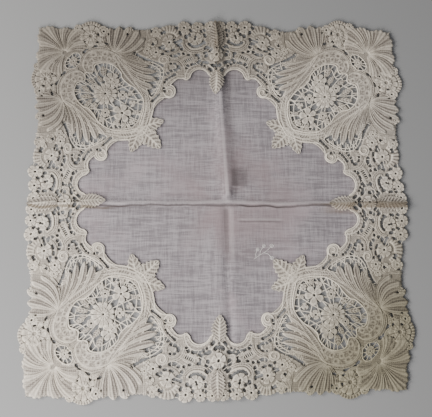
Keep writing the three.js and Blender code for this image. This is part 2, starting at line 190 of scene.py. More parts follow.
# Slits and small holes between the leaves and flowers, and how far beyond these outlines each is cut.
SLIT_ROOM = 0.58
SLITS = [
    # x, y, length, width, degrees
    (10.6, 146.4, 3.8, 2.0, -15),
    (20.4, 147.0, 2.4, 1.1, 60),
    (29.4, 144.8, 3.4, 1.2, 70),
    (32.0, 150.4, 4.6, 1.6, 84),
    (9.4, 153.0, 2.4, 1.0, 90),
    (20.0, 153.6, 2.4, 1.0, 90),
    (16.9, 141.6, 1.3, 1.3, 0),
    (24.5, 141.6, 2.6, 2.0, 80),
    (9.6, 141.8, 3.2, 1.4, 80),
    (21.6, 143.4, 2.0, 1.2, 60),
    (10.4, 136.2, 3.0, 1.2, 60),
    (12.8, 134.6, 2.4, 1.7, -40),
    (15.7, 133.6, 2.4, 1.4, -6),
    (18.7, 133.7, 2.4, 1.3, 10),
    (21.6, 135.2, 2.8, 1.4, 45),
    (28.7, 132.6, 4.0, 1.6, 75),
    (29.0, 138.6, 2.6, 1.3, 60),
    (31.3, 136.2, 4.6, 2.5, 78),
    (34.6, 138.2, 4.0, 1.2, 80),
    (36.2, 130.6, 3.2, 1.0, -24),
    (41.0, 129.9, 2.6, 1.0, 8),
    (44.3, 133.7, 3.8, 1.6, 75),
    (46.9, 133.4, 2.2, 1.3, 45),
    (43.2, 146.6, 2.4, 1.0, 70),
    (45.6, 146.0, 2.4, 1.0, 80),
    (54.2, 148.2, 2.4, 1.4, -40),
    (55.4, 138.7, 2.4, 1.3, -20),
    (52.8, 136.9, 2.2, 1.1, 35),
    (73.0, 146.0, 2.0, 1.7, 0),
    (89.4, 145.6, 2.0, 1.1, 50),
    (91.4, 136.6, 3.2, 1.2, 15),
    (109.4, 136.2, 3.6, 1.4, 85),
    (97.6, 144.6, 2.2, 1.1, 70),
    (98.8, 137.2, 2.0, 1.1, -30),
    (113.6, 143.6, 2.0, 1.1, 80),
    (7.8, 132.0, 2.0, 1.3, 30),
    (9.0, 130.9, 1.4, 1.2, -30),
    (5.2, 129.6, 3.6, 2.3, 60),
    (8.4, 126.0, 4.4, 2.2, 75),
    (14.9, 126.1, 3.0, 1.5, 10),
    (13.4, 121.9, 3.6, 1.3, 75),
    (16.0, 119.0, 3.8, 1.3, -30),
    (20.2, 118.0, 2.8, 1.3, -20),
    (24.8, 115.8, 4.4, 1.9, -60),
    (22.4, 126.4, 1.8, 1.2, 0),
    (27.0, 127.6, 1.6, 1.2, 20),
    (32.0, 126.6, 4.0, 1.7, -40),
    (36.0, 125.4, 4.8, 2.0, 8),
    (44.5, 128.0, 1.9, 1.3, 80),
    (32.2, 115.2, 3.2, 2.1, 70),
    (36.4, 112.2, 5.4, 1.4, -14),
    (36.6, 118.2, 4.8, 0.9, 6),
    (41.4, 109.0, 3.6, 2.4, -24),
    (42.3, 95.4, 3.6, 1.5, 80),
    (35.2, 108.5, 1.6, 1.4, 0),
    (37.2, 107.2, 1.4, 1.1, -30),
    (39.2, 105.9, 1.4, 1.0, -40),
    (40.9, 104.1, 1.4, 1.0, -50),
    (42.3, 101.9, 1.2, 0.9, -60),
    (46.6, 91.7, 1.2, 0.9, -50),
    (48.2, 90.2, 1.2, 0.9, -50),
    (49.8, 88.7, 1.3, 1.0, -50),
    (51.2, 87.5, 1.3, 1.1, -50),
    (52.5, 86.2, 1.6, 1.4, -50),
    (9.4, 116.0, 1.2, 0.9, 30),
    (11.8, 117.4, 1.2, 0.9, 20),
    (14.4, 118.1, 1.2, 0.9, 0),
    (4.8, 112.4, 3.4, 1.8, 50),
    (2.6, 115.8, 3.2, 1.9, 50),
    (7.6, 118.9, 3.2, 1.6, 30),
    (10.4, 119.6, 1.6, 1.3, 0),
    (46.2, 117.4, 3.4, 1.9, 40),
    (49.3, 119.6, 2.8, 1.6, 30),
    (52.6, 121.3, 3.6, 1.4, 30),
    (56.2, 122.9, 3.2, 1.6, 25),
    (59.6, 124.4, 3.2, 1.6, 30),
    (62.8, 126.0, 2.8, 1.3, 25),
    (66.2, 127.9, 3.8, 1.8, 35),
    (100.4, 133.6, 2.6, 1.3, -20),
    (103.8, 132.4, 3.8, 1.1, -18),
    (107.6, 130.2, 2.4, 1.2, -40),
    (110.2, 127.6, 2.6, 1.4, -50),
    (114.8, 123.8, 3.4, 2.5, -45),
    (117.0, 116.2, 3.0, 1.4, 80),
]
# Slits longer than this have a bar across them.
BARRED_SLIT = 3.5
# A long pointed opening with a few bars.
LEAF_SLIT = {"start": (19.4, 124.0), "end": (27.4, 120.4), "width": 3.0, "bars": 5}

# Leaves made of fingers side by side, each of a few strands. A finger's root lies on the line from the leaf's
# base to its end, and its tip at x, y. The bow is how far it curves sideways, as a share of its length, and
# the notch how much shorter it is at the furrow beside it.
PALM = {"base": (86.5, 129.0), "end": (59.0, 88.0), "along": 15}
PALM_STYLE = {"crest": 0.27, "strands": 3, "sheer": 0.05}
UPPER_FINGERS = [
    # root, x, y, bow, notch
    (0.00, 94.6, 143.4, -0.12, 0.22),
    (0.01, 88.2, 151.4, -0.05, 0.24),
    (0.01, 80.0, 153.0, 0.03, 0.24),
    (0.02, 71.8, 152.6, 0.10, 0.24),
    (0.03, 63.8, 149.2, 0.16, 0.24),
    (0.04, 58.8, 141.4, 0.18, 0.24),
    (0.05, 59.6, 133.4, 0.15, 0.20),
]
LOWER_FINGERS = [
    # root, x, y, bow, notch
    (0.01, 66.0, 124.4, 0.05, 0.16),
    (0.05, 57.2, 118.6, 0.05, 0.26),
    (0.12, 50.2, 112.2, 0.06, 0.32),
    (0.24, 49.2, 104.2, 0.09, 0.34),
    (0.42, 52.2, 97.2, 0.09, 0.34),
    (0.70, 56.0, 90.6, 0.05, 0.26),
    (0.90, 58.9, 86.4, 0.02, 0.12),
]

# The leaf that fills the corner: ribs from one point out to the two edges, shorter towards the medallion.
FAN = {"centre": 128.0, "hub": 1.6, "edge": 151.6, "inward": 20, "ribs": 32, "turns": (-92, 182)}
FAN_STYLE = {"notch": 0.05, "along": 15, "crest": 0.27, "droop": 0.12, "sheer": 0.04, "lobe": 4}

# Round flowers: petals round a hub that is a hole.
FLOWERS = [
    # x, y, radius, petals, hub, notch, turn
    (4.6, 149.6, 4.8, 6, 0.20, 0.14, 12),
    (14.4, 149.8, 4.9, 6, 0.20, 0.14, 40),
    (25.6, 149.2, 5.9, 7, 0.18, 0.14, 5),
    (17.4, 139.6, 5.9, 5, 0.20, 0.16, 30),
    (39.2, 137.4, 6.4, 6, 0.15, 0.14, 10),
    (53.2, 138.4, 3.9, 5, 0.24, 0.18, 0),
    (50.0, 129.8, 4.7, 6, 0.22, 0.16, 20),
    (25.2, 145.0, 2.9, 4, 0.26, 0.18, 80),
    (10.4, 140.6, 2.8, 4, 0.26, 0.18, 10),
    (50.6, 147.4, 4.6, 6, 0.22, 0.16, 10),
    (71.4, 149.6, 3.2, 5, 0.22, 0.30, 0),
    (103.8, 143.0, 9.8, 10, 0.15, 0.12, 4),
    (93.4, 147.8, 4.6, 6, 0.22, 0.16, 0),
    (115.0, 150.0, 3.6, 5, 0.24, 0.18, 30),
    (116.4, 134.4, 3.4, 5, 0.26, 0.18, 0),
    (94.6, 138.0, 3.4, 5, 0.26, 0.18, 0),
    (29.2, 128.4, 2.8, 4, 0.26, 0.18, 30),
    (57.0, 131.4, 3.4, 5, 0.26, 0.18, 10),
    (55.4, 125.6, 2.6, 4, 0.26, 0.18, 50),
    (122.0, 138.0, 3.2, 5, 0.26, 0.18, 30),
]
# Plain round pads with a raised rim.
PADS = [
    # x, y, radius
    (38.5, 93.9, 4.9),
    (43.9, 122.7, 4.5),
    (24.6, 107.6, 2.6),
    (11.4, 124.8, 1.9),
]
# The curl on the two large pads: how far out it runs, as a share of the pad's radius, in each direction.
CURL = [(0.86 - 0.09 * i, math.cos(-0.9 - 0.75 * i), math.sin(-0.9 - 0.75 * i)) for i in range(9)]
# The holes in the hubs of the flowers of middling size, as slits.
HUBS = [(x, y, 0.7, 0.7, 0) for x, y, radius, *_ in FLOWERS if 3.5 < radius < 7]
# Fans of short ribs that cap a flower.
CAPS = [
    # x, y, inner, outer, start, end, ribs
    (39.6, 138.2, 7.2, 14.2, 22, 158, 10),
    (104.0, 142.2, 10.4, 13.4, 30, 150, 11),
    (17.4, 139.8, 6.2, 8.6, 200, 250, 3),
    (17.4, 139.8, 6.2, 8.6, 290, 340, 3),
    (58.6, 129.4, 3.0, 21.6, 92, 122, 7),
    (62.6, 117.2, 2.0, 9.0, 60, 170, 9),
]
# Scrolls, each along a smooth path. Tapered ones are leaves.
SCROLLS = [
    # path, width in the middle, cross stitches, tapered
    (arc(15.1, 105.2, 10.8, 178, -8, 7), 4.6, 22, False),
    ([(0.8, 111.0), (4.6, 115.2), (9.6, 120.2), (15.8, 121.8)], 2.0, 9, False),
    ([(25.6, 106.4), (31.0, 107.2), (36.0, 104.6), (39.6, 100.6), (41.2, 97.2)], 2.6, 14, False),
    (
        [(33.8, 110.6), (38.2, 108.6), (42.0, 105.0), (44.4, 100.0), (45.6, 95.0), (48.8, 91.4)],
        2.3, 14, False,
    ),
    ([(42.2, 89.4), (46.6, 86.8), (50.6, 82.6), (53.0, 77.0), (53.4, 71.0)], 2.8, 12, False),
    ([(48.8, 91.4), (52.6, 88.2), (55.6, 83.4), (56.4, 77.0)], 2.4, 9, False),
    ([(27.2, 108.6), (26.8, 114.2), (28.6, 119.2), (32.8, 122.4), (38.4, 123.2)], 2.6, 14, False),
    (arc(36.4, 115.2, 5.4, 214, -66, 8), 2.2, 18, False),
    (arc(36.8, 115.2, 2.3, 20, 240, 5), 1.7, 5, True),
    (
        [(5.2, 132.2), (9.8, 129.6), (15.6, 128.4), (21.4, 129.4), (26.4, 133.6), (27.4, 139.0)],
        2.4, 16, False,
    ),
    ([(7.2, 134.4), (11.0, 132.2), (15.8, 131.2), (20.8, 132.0), (24.8, 135.8)], 1.9, 12, False),
    ([(14.6, 123.8), (18.6, 120.8), (23.0, 118.6), (27.6, 114.6)], 3.2, 9, True),
    ([(17.4, 126.8), (22.4, 125.0), (27.2, 122.6), (30.8, 120.4)], 2.4, 8, True),
    ([(31.4, 124.2), (36.2, 123.4), (41.0, 126.0)], 2.2, 6, True),
    ([(30.6, 133.6), (33.2, 130.6), (38.0, 128.4), (43.8, 129.2), (47.0, 134.0)], 2.2, 12, False),
    ([(10.8, 128.0), (12.2, 124.2), (11.2, 120.6)], 2.4, 6, True),
    ([(88.6, 130.6), (97.8, 131.6), (106.6, 128.4), (112.2, 121.8), (112.8, 115.0)], 3.0, 16, False),
    (
        [(80.6, 117.6), (86.6, 122.6), (94.6, 124.6), (102.8, 122.6), (106.6, 116.6), (104.2, 110.2)],
        11.8, 24, False,
    ),
    ([(86.0, 127.6), (79.4, 118.4), (71.4, 108.6), (65.0, 99.4), (60.6, 88.6)], 8.8, 24, True),
    ([(91.0, 133.4), (97.4, 135.2), (104.0, 134.0)], 2.6, 6, True),
    ([(112.0, 137.4), (112.2, 143.4), (114.6, 148.0)], 3.0, 6, True),
    ([(130.4, 111.0), (133.0, 104.6), (137.4, 100.0)], 3.0, 6, True),
]
# The leafy scroll round the inner side of the medallion crosses the diagonal.
RIM = {
    "half": [(60.6, 99.0), (58.2, 88.0), (57.8, 77.0), (59.6, 67.0)],
    "middle": (62.8, 62.8),
    "width": 9.2,
    "stitches": 34,
}

# What stands in the medallion: flowers as above, leaves, the net inside its rim, and bars from some flowers.
MEDALLION_FLOWERS = [
    # x, y, radius, petals, hub, notch, turn
    (91.0, 90.6, 10.2, 12, 0.08, 0.34, 0),
    (76.6, 74.6, 7.6, 5, 0.12, 0.56, 62),
    (86.4, 103.4, 6.8, 6, 0.12, 0.54, 102),
    (100.6, 97.0, 3.4, 6, 0.26, 0.14, 0),
    (89.6, 73.9, 3.7, 6, 0.24, 0.14, 15),
    (77.2, 89.4, 4.0, 4, 0.24, 0.36, 40),
    (70.6, 91.4, 2.6, 3, 0.10, 0.22, 30),
    (69.2, 83.4, 2.8, 3, 0.10, 0.22, 80),
    (68.6, 68.6, 2.7, 4, 0.10, 0.22, 10),
    (81.0, 66.2, 2.9, 3, 0.10, 0.22, 50),
    (92.6, 68.4, 2.7, 4, 0.10, 0.22, 20),
    (81.4, 98.8, 2.5, 3, 0.10, 0.22, 0),
    (99.4, 79.8, 2.7, 3, 0.10, 0.22, 70),
]
MEDALLION_LEAVES = [
    # root, tip, width
    ((92.4, 107.2), (94.0, 115.2), 5.2),
    ((94.4, 101.4), (97.8, 106.8), 4.6),
    ((101.6, 100.6), (107.0, 103.0), 3.6),
    ((105.4, 92.2), (112.6, 97.0), 4.8),
    ((103.2, 88.2), (113.0, 87.2), 4.4),
    ((101.6, 85.6), (109.6, 78.4), 3.8),
    ((75.8, 66.8), (74.8, 60.8), 3.6),
    ((68.4, 76.2), (62.8, 76.6), 3.6),
]
RIM_NET = {"depth": 4.9, "bars": 36}
CORNER_FLOWER = (119.8, 119.8, 4.0, 5, 0.16, 0.26, 45)
BARS_FROM = {"daisy": 16, "rose": 11, "corner flower": 11}
# Bars of the open ground at the palm's tips.
TIP_BARS = [
    ((43.0, 113.6), (52.0, 114.6)),
    ((44.0, 110.0), (52.0, 112.4)),
    ((42.6, 106.6), (51.0, 107.4)),
    ((43.4, 103.2), (51.0, 102.4)),
    ((44.6, 99.8), (52.0, 99.6)),
    ((46.0, 96.6), (53.0, 95.8)),
    ((47.6, 93.4), (54.0, 92.4)),
    ((47.6, 117.0), (53.0, 116.4)),
    ((52.6, 120.6), (54.4, 115.4)),
    ((57.0, 122.0), (57.4, 117.6)),
    ((43.0, 111.8), (49.8, 108.4)),
    ((43.0, 105.0), (49.4, 109.6)),
    ((43.8, 104.6), (49.6, 100.0)),
    ((45.8, 98.0), (50.6, 103.0)),
    ((46.4, 97.6), (52.4, 94.2)),
    ((46.4, 116.0), (51.4, 110.6)),
]
# The thread that ties those bars together, along the leaf's tips.
TIP_THREAD = [
    (58.2, 120.2), (52.4, 117.8), (47.6, 113.4), (46.2, 107.6), (46.8, 101.6), (49.6, 95.6), (53.6, 91.2),
]

# The middle spray: a feather that points inwards and one that points out, each with a midrib and barbs.
SPRAYS = [
    # root, tip, width, barbs
    ((0, 111.4), (0, 90.8), 13.6, 8),
    ((0, 130.6), (0, 153.8), 14.0, 9),
]
SPRAY_FLOWER = (0.0, 124.4, 5.6, 5, 0.20, 0.18, 90)

# The leaf on the diagonal, its lobes spread from one root.
VINE_ROOT = (62.0, 62.0)
VINE_LEAVES = [
    # x, y, width, barbs
    (48.8, 58.6, 9.0, 4),
    (58.6, 48.8, 9.0, 4),
    (42.2, 68.8, 13.0, 6),
    (46.2, 46.2, 16.0, 7),
    (68.8, 42.2, 13.0, 6),
]

# The small sprig, in the whole handkerchief's own places.
SPRIG = {
    "at": (37.0, -42.0),
    "stems": [
        [(-7.0, -5.0), (-2.0, -1.5), (3.0, 2.0), (7.0, 6.5)],
        [(-2.0, -1.5), (-1.5, 2.5), (0.5, 5.5)],
        [(1.0, 0.6), (4.6, 0.0), (7.4, -2.4)],
        [(-5.0, -3.6), (-5.4, -0.4), (-4.4, 2.4)],
    ],
    "buds": [(7.4, 7.0, 1.5), (0.8, 6.4, 1.3), (8.0, -3.0, 1.3), (-4.2, 3.4, 1.2)],
}


# How the finished work lies.

# Hand-made lace is never quite square: at each place along an edge, how far it bulges out or draws in.
EDGES = {
    # along, out
    "top": [(-150, -1.5), (-75, -2.6), (-20, 0.6), (25, 1.6), (52, -1.4), (105, 1.8), (150, -1.4)],
    "bottom": [(-150, 2.0), (-102, 3.8), (-65, 1.8), (0, 3.8), (50, -0.4), (100, 1.0), (150, -0.8)],
    "right": [(-150, -1.4), (-100, 1.0), (-60, -2.4), (-8, 0.8), (22, -1.8), (75, 0), (150, -1.4)],
    "left": [
        (-150, -1.4), (-112, 1.0), (-75, -3.6), (-20, -1.0), (20, -2.6), (65, -5.6), (102, -2.6), (150, -3.2),
    ],
}
BULGE_STARTS = 92
WAVER = {"size": 0.7, "wave": 17}
# The two folds: the level one's y, and above and below it, the upright one's x there and its lean.
CREASE = {"level": -1.2, "above": (8.7, -0.060), "below": (6.5, -0.022)}
# The short pinch below the level fold.
PINCH = {"y": -15, "starts": (10, 20), "ends": (44, 55)}
RISE = {"upright": 2.5, "trough": 1.5, "level": 2.3, "pinch": 0.9, "waves": 0.16}


def smoothstep(value, low, high):
    t = np.clip((value - low) / (high - low), 0, 1)
    return t * t * (3 - 2 * t)


def hump(value, middle, width):
    """1 in the middle, and almost nothing two widths away from it."""
    return np.exp(-(((value - middle) / width) ** 2))


def bulge(edge, along):
    at, out = np.array(edge, float).T
    after = np.clip(np.searchsorted(at, along, side="right"), 1, len(at) - 1)
    share = smoothstep(along, at[after - 1], at[after])
    return out[after - 1] + (out[after] - out[after - 1]) * share


def uneven(here, along, low_edge, high_edge):
    share = smoothstep(np.abs(here), BULGE_STARTS, HALF_SIDE)
    out = np.where(here > 0, bulge(EDGES[high_edge], along), -bulge(EDGES[low_edge], along))
    return here + out * share + WAVER["size"] * np.sin(along / WAVER["wave"] + 1)


def ridge(off, left, right):
    """A crease's height at `off` from its crest, with its two sides' widths."""
    return np.exp(-((np.abs(off) / np.where(off < 0, left, right)) ** 1.5))


def lift(x, y):
    """How far the cloth stands off the table: the creases from its folding, and small waves."""
    above, below = (x - place - lean * y for place, lean in (CREASE["above"], CREASE["below"]))
    broad = smoothstep(y, 9, 17) * (1 - smoothstep(y, 48, 78))
    upright = RISE["upright"] * ridge(above, 4.0 + 2.5 * broad, 4.2 + 6.0 * broad)
    trough = RISE["trough"] * (ridge(below, 12, 12) - ridge(below, 2.8, 3.4))
    upper = smoothstep(y, -5, 3)
    level = RISE["level"] * ridge(y - CREASE["level"], 1.7, 3.0)
    pinch = RISE["pinch"] * ridge(y - PINCH["y"], 1.2, 1.6) * smoothstep(x, *PINCH["starts"])
    pinch = pinch * (1 - smoothstep(x, *PINCH["ends"]))
    waves = np.sin(x / 9.0 + np.sin(y / 13.0)) + np.sin(y / 11.0 + 1.5 * np.sin(x / 17.0)) + 2
    return np.maximum(upright * upper + trough * (1 - upper), level) + pinch + RISE["waves"] * waves


def wander(x, y):
    """The small differences between one repeat and the next."""
    return (
        0.45 * np.sin(x / 7.3 + 2.0 * np.sin(y / 19.0)) + 0.35 * np.sin(y / 5.1 + x / 23.0),
        0.45 * np.sin(y / 6.7 + 2.0 * np.sin(x / 21.0)) + 0.35 * np.sin(x / 5.7 - y / 29.0),
    )


def lay(mesh, turn):
    """Lays a mesh, worked flat in millimetres, in its quarter of the table, uneven and creased, in metres."""
    co = np.empty(len(mesh.vertices) * 3)
    mesh.vertices.foreach_get("co", co)
    x, y, z = co.reshape(-1, 3).T
    x, y = x * turn[0], y * turn[1]
    wx, wy = wander(x, y)
    x, y = x + wx, y + wy
    out_x = uneven(x, y, "left", "right") + OFF_CENTRE[0]
    out_y = uneven(y, x, "bottom", "top") + OFF_CENTRE[1]
    out = np.stack([out_x, out_y, z + lift(x, y)], axis=1)
    mesh.vertices.foreach_set("co", (out * MM).ravel())
    if turn[0] * turn[1] < 0:
        mesh.flip_normals()
    mesh.update()


# Work on the flat pattern.

# A ribbon narrower than the first is a plain cord. One wider than the second has a thin cord on both edges.
NARROW, WIDE = 2.2, 6
# Above these radii a flower has more faces to a petal, more along it, and a second small round on top.
FLOWER_SIZES = (3.3, 4, 8)
# How a leaflet is worked, where it is a lobe of several ribs and where it is a finger of several strands.
LEAFLET = {
    "shortest": 0.80,
    "lobe furrow": 0.24,
    "finger furrow": 0.34,
    "furrow depth": 0.40,
    "rib": 0.78,
    "swelling": 0.38,
    "close half": 0.48,
    "open half": 0.40,
    "lobe openness": 0.84,
}
# Vertices nearer to each other than this are joined, and those this near a slit's edge are drawn to it.
SEAM = 0.004
NEAR_SLIT = 0.34
# The widths of the cords.
CORD = {
    "edge": 1.0,
    "rim": 0.8,
    "curl": 0.8,
    "net": 0.7,
    "net bar": 0.66,
    "bar": 0.7,
    "tip bar": 0.6,
    "slit bar": 0.5,
    "stem": 0.5,
    "bud": 0.45,
}


def slope(depth, x, y, step):
    """A depth at some points, and its slope there along x and y."""
    here = depth(x, y)
    return here, (depth(x + step, y) - here) / step, (depth(x, y + step) - here) / step


class Needlework:
    """A mesh worked flat, patch by patch, in millimetres. Its attribute `thin` says how open the work is."""

    def __init__(self):
        self.bm = bmesh.new()
        self.thin = self.bm.verts.layers.float.new("thin")

    def patch(self, across, along, place):
        """Adds a grid of faces. place(u, w), both from 0 to 1, gives x, y, z and how thin it is."""
        made = bmesh.ops.create_grid(self.bm, x_segments=across, y_segments=along, size=0.5)
        verts = made["verts"]
        uw = np.array([(v.co.x + 0.5, v.co.y + 0.5) for v in verts])
        values = [np.broadcast_to(v, len(verts)) for v in place(uw[:, 0], uw[:, 1])]
        for vert, x, y, z, thin in zip(verts, *values):
            vert.co = (x, y, z)
            vert[self.thin] = thin
        faces = list({face for vert in verts for face in vert.link_faces})
        for face in faces:
            face.normal_update()
        if sum(face.normal.z for face in faces) < 0:
            bmesh.ops.reverse_faces(self.bm, faces=faces)

    def ribbed(self, lines, across, along, height, floor, crest, strands=1, sheer=0.0, lobe=0):
        """Fingers side by side, each of a few strands. lines(u) gives one's place, root, tip, bow and notch.

        With a lobe, that many fingers lie together as a leaflet, and a finger of a few strands is one too. A
        deeper furrow parts one leaflet from the next, and half of each is worked more openly.
        """

        def place(u, w):
            finger, root, tip, bow, notch = lines(u)
            outline = np.sqrt(np.abs(np.sin(np.pi * finger)))
            reach = w * (1 - notch * (1 - outline))
            if lobe:
                middle = np.abs(np.sin(np.pi * finger / lobe)) ** 0.6
                reach *= LEAFLET["shortest"] + (1 - LEAFLET["shortest"]) * middle
            side = 4 * bow * reach * (1 - reach)
            x, y = between(root, tip, reach)
            x, y = x - (tip[1] - root[1]) * side, y + (tip[0] - root[0]) * side
            crown = hump((finger * strands) % 1, 0.5, crest)
            thin = 1 - crown
            if lobe or strands > 1:
                leaflet = finger / (lobe or 1) % 1
                furrow = hump(np.sin(np.pi * leaflet), 0, LEAFLET["lobe furrow" if lobe else "finger furrow"])
                open_half = smoothstep(leaflet, 0.40, 0.62) * (1 - smoothstep(leaflet, 0.84, 1.0))
                swelling = LEAFLET["swelling"] * np.sqrt(np.sin(np.pi * leaflet))
                crown = LEAFLET["rib"] * crown + swelling - LEAFLET["furrow depth"] * furrow
                close, opened = LEAFLET["close half"], LEAFLET["open half"]
                thin = thin * (close + (1 - close) * open_half) + opened * open_half * (1 - thin)
                thin = np.maximum(thin, furrow)
            z = floor + height * crown * smoothstep(w, 0, 0.25) * (1 - 0.35 * smoothstep(w, 0.8, 1))
            thin = thin * smoothstep(w, 0.0, 0.42) * (1 - 0.6 * smoothstep(w, 0.9, 1))
            thin = thin * (LEAFLET["lobe openness"] if lobe else 1)
            return x, y, z, sheer * smoothstep(w, 0, 0.1) + (1 - sheer) * thin

        self.patch(across, along, place)

    def fan(self, x, y, reach, hub, turns, ribs, height, floor, notch, along, crest, droop=0, **style):
        """Ribs round a point, drooping from the diagonal. Their reach is a length, or follows the angle."""
        start, end = turns

        def lines(u):
            angle = np.radians(start + (end - start) * u)
            far = reach(angle) if callable(reach) else reach
            c, s = np.cos(angle), np.sin(angle)
            bow = -droop * np.sin(angle - np.pi / 4)
            return u * ribs, (x + hub * c, y + hub * s), (x + far * c, y + far * s), bow, notch

        across = 5 if crest > 0.4 else 4
        self.ribbed(lines, across * ribs, along, height, floor, crest, **style)

    def flower(self, x, y, radius, petals, hub, notch, turn, floor=HEIGHT["flower"]):
        """Petals with raised rims round a hole."""
        fine, finer, double = FLOWER_SIZES

        def place(u, w):
            side = np.abs(2 * ((u * petals) % 1) - 1)
            outline = (1 - side**2.4) ** 0.6
            angle = np.radians(turn) + 2 * np.pi * u
            far = radius * (hub + (1 - hub) * w * (1 - notch * (1 - outline)))
            rim = np.maximum(hump(side, 0.66, 0.2), hump(w, 0.86, 0.16)) * (1 - smoothstep(side, 0.7, 1.0))
            vein = 0.6 * hump(side, 0, 0.2) * smoothstep(w, 0.95, 0.5)
            inner = smoothstep(w, 0.35, 0.1)
            raised = np.maximum(np.maximum(rim * smoothstep(w, 0.1, 0.4), vein), inner)
            thin = np.maximum((1 - raised) * 0.5, smoothstep(side, 0.75, 1.0)) * (1 - inner)
            z = floor + RELIEF["petal"] * raised
            return x + far * np.cos(angle), y + far * np.sin(angle), z, thin

        self.patch((6 if radius > fine else 4) * petals, 6 if radius > finer else 5, place)
        if radius > double:
            turns, height, top = (turn, turn + 360), RELIEF["small petal"], floor + 0.3
            half, hole = radius * 0.5, radius * hub
            self.fan(x, y, half, hole, turns, petals, height, top, notch=0.2, along=4, crest=0.44)

    def pad(self, x, y, radius, floor):
        """A round pad of dotted stitches with a raised rim."""

        def place(u, w):
            angle = 2 * np.pi * u
            rim = hump(w, 0.86, 0.13)
            far = radius * np.maximum(w, 0.02)
            px, py = x + far * np.cos(angle), y + far * np.sin(angle)
            dots = (0.5 + 0.5 * np.cos(3.9 * px) * np.cos(3.9 * py)) * (1 - rim)
            z = floor + RELIEF["pad rim"] * rim + RELIEF["pad dot"] * dots
            return px, py, z, (0.68 - 0.5 * dots) * (1 - rim)

        self.patch(24, 8, place)

    def ribbon(self, path, width, stitches, tapered):
        """A scroll or leaf along a path. A broad scroll has a row of eyelets, to either side in turn."""
        length = length_of(path)
        broad_band = width > WIDE and not tapered
        along = max(8, int(length / (0.62 if tapered and width > WIDE else 1.0)))
        line = smooth_path(path, along)
        heading = np.gradient(line, axis=0)
        heading /= np.hypot(*heading.T)[:, None]
        at = np.linspace(0, 1, along + 1)

        def place(u, w):
            px, py = np.interp(w, at, line[:, 0]), np.interp(w, at, line[:, 1])
            hx, hy = np.interp(w, at, heading[:, 0]), np.interp(w, at, heading[:, 1])
            ends = np.sin(np.pi * np.clip(w, 0.015, 0.985)) ** (0.75 if tapered else 0.22)
            off = (u - 0.5) * width * ends
            side = np.abs(2 * u - 1)
            cross = 0.5 + 0.5 * np.cos(2 * np.pi * (w * stitches + side))
            if width < NARROW:
                raised = hump(side, 0, 0.8)
            else:
                raised = hump(side, 0.68, 0.2) if width < WIDE else hump(side, 0.9, 0.12)
            if broad_band:
                cross *= 0.5 + 0.5 * np.cos(3.6 * off)
            if tapered:
                raised = np.maximum(raised, hump(side, 0, 0.16))
            z = HEIGHT["scroll"] + RELIEF["scroll rim"] * raised
            z = z + RELIEF["cross stitch"] * cross * (1 - raised)
            thin = (1 - raised) * ((0.72 if broad_band else 0.95) - 0.6 * cross)
            if broad_band:
                eyelets = stitches / 2.6
                beside = off - 0.17 * width * np.where(np.floor(w * eyelets) % 2 > 0, 1, -1)
                away = np.hypot(((w * eyelets) % 1 - 0.5) * length / eyelets, beside)
                worked = hump(away, 1.9, 0.6) * (1 - raised)
                hole = hump(away, 0, 1.15)
                z = z + RELIEF["eyelet ring"] * worked - RELIEF["eyelet"] * hole
                thin = np.maximum(thin * (1 - worked), 1.05 * hole)
            return px - hy * off, py + hx * off, z, thin

        self.patch(14 if width > WIDE else 6 if width > NARROW else 4, along, place)

    def feather(self, root, tip, width, barbs, floor=HEIGHT["scroll"], slant=1.6):
        """A leaf with a midrib and slanting barbs, whose edge is toothed by the barbs' ends."""
        far = math.dist(root, tip)
        hx, hy = (tip[0] - root[0]) / far, (tip[1] - root[1]) / far

        def place(u, w):
            side = np.abs(2 * u - 1)
            crown = hump((w * barbs - side * slant) % 1, 0.5, 0.26)
            outline = np.sin(np.pi * np.clip(w, 0.0, 1) ** 0.85) ** 0.7
            off = (u - 0.5) * width * outline * (1 - 0.3 * (1 - crown) * side**2)
            raised = np.maximum(np.maximum(0.9 * crown, hump(side, 0, 0.14)), hump(side, 0.94, 0.12))
            x, y = between(root, tip, w)
            return x - hy * off, y + hx * off, floor + RELIEF["barb"] * raised, 1 - raised

        self.patch(12, barbs * 5, place)

    def open_slits(self):
        """Cuts the slits through what has been worked over them, and draws its cut edges to theirs."""
        verts = list(self.bm.verts)
        x = np.array([v.co.x for v in verts])
        y = np.array([v.co.y for v in verts])
        away = from_slits(x, y)
        near = np.nonzero(np.abs(away) < NEAR_SLIT)[0]
        here, gx, gy = slope(from_slits, x[near], y[near], 0.02)
        for i, mx, my in zip(near, gx * here, gy * here):
            verts[i].co.x -= mx
            verts[i].co.y -= my
        away[near] = 0
        self.bm.verts.index_update()
        opened = [f for f in self.bm.faces if sum(away[v.index] for v in f.verts) < -0.01]
        bmesh.ops.delete(self.bm, geom=opened, context="FACES")

    def finished(self, name, merged=True):
        mesh = bpy.data.meshes.new(name)
        if merged:
            bmesh.ops.remove_doubles(self.bm, verts=self.bm.verts, dist=SEAM)
        self.bm.to_mesh(mesh)
        self.bm.free()
        return mesh


def joined(name, meshes, work=None, merged=True):
    """One mesh of several, added to what has been worked already."""
    work = work or Needlework()
    for mesh in meshes:
        work.bm.from_mesh(mesh)
    return work.finished(name, merged)


def mirrored_on_diagonal(mesh):
    copy = mesh.copy()
    copy.transform(Matrix(((0, 1, 0, 0), (1, 0, 0, 0), (0, 0, 1, 0), (0, 0, 0, 1))))
    copy.flip_normals()
    return copy


# Cloth cut to an outline, with holes.


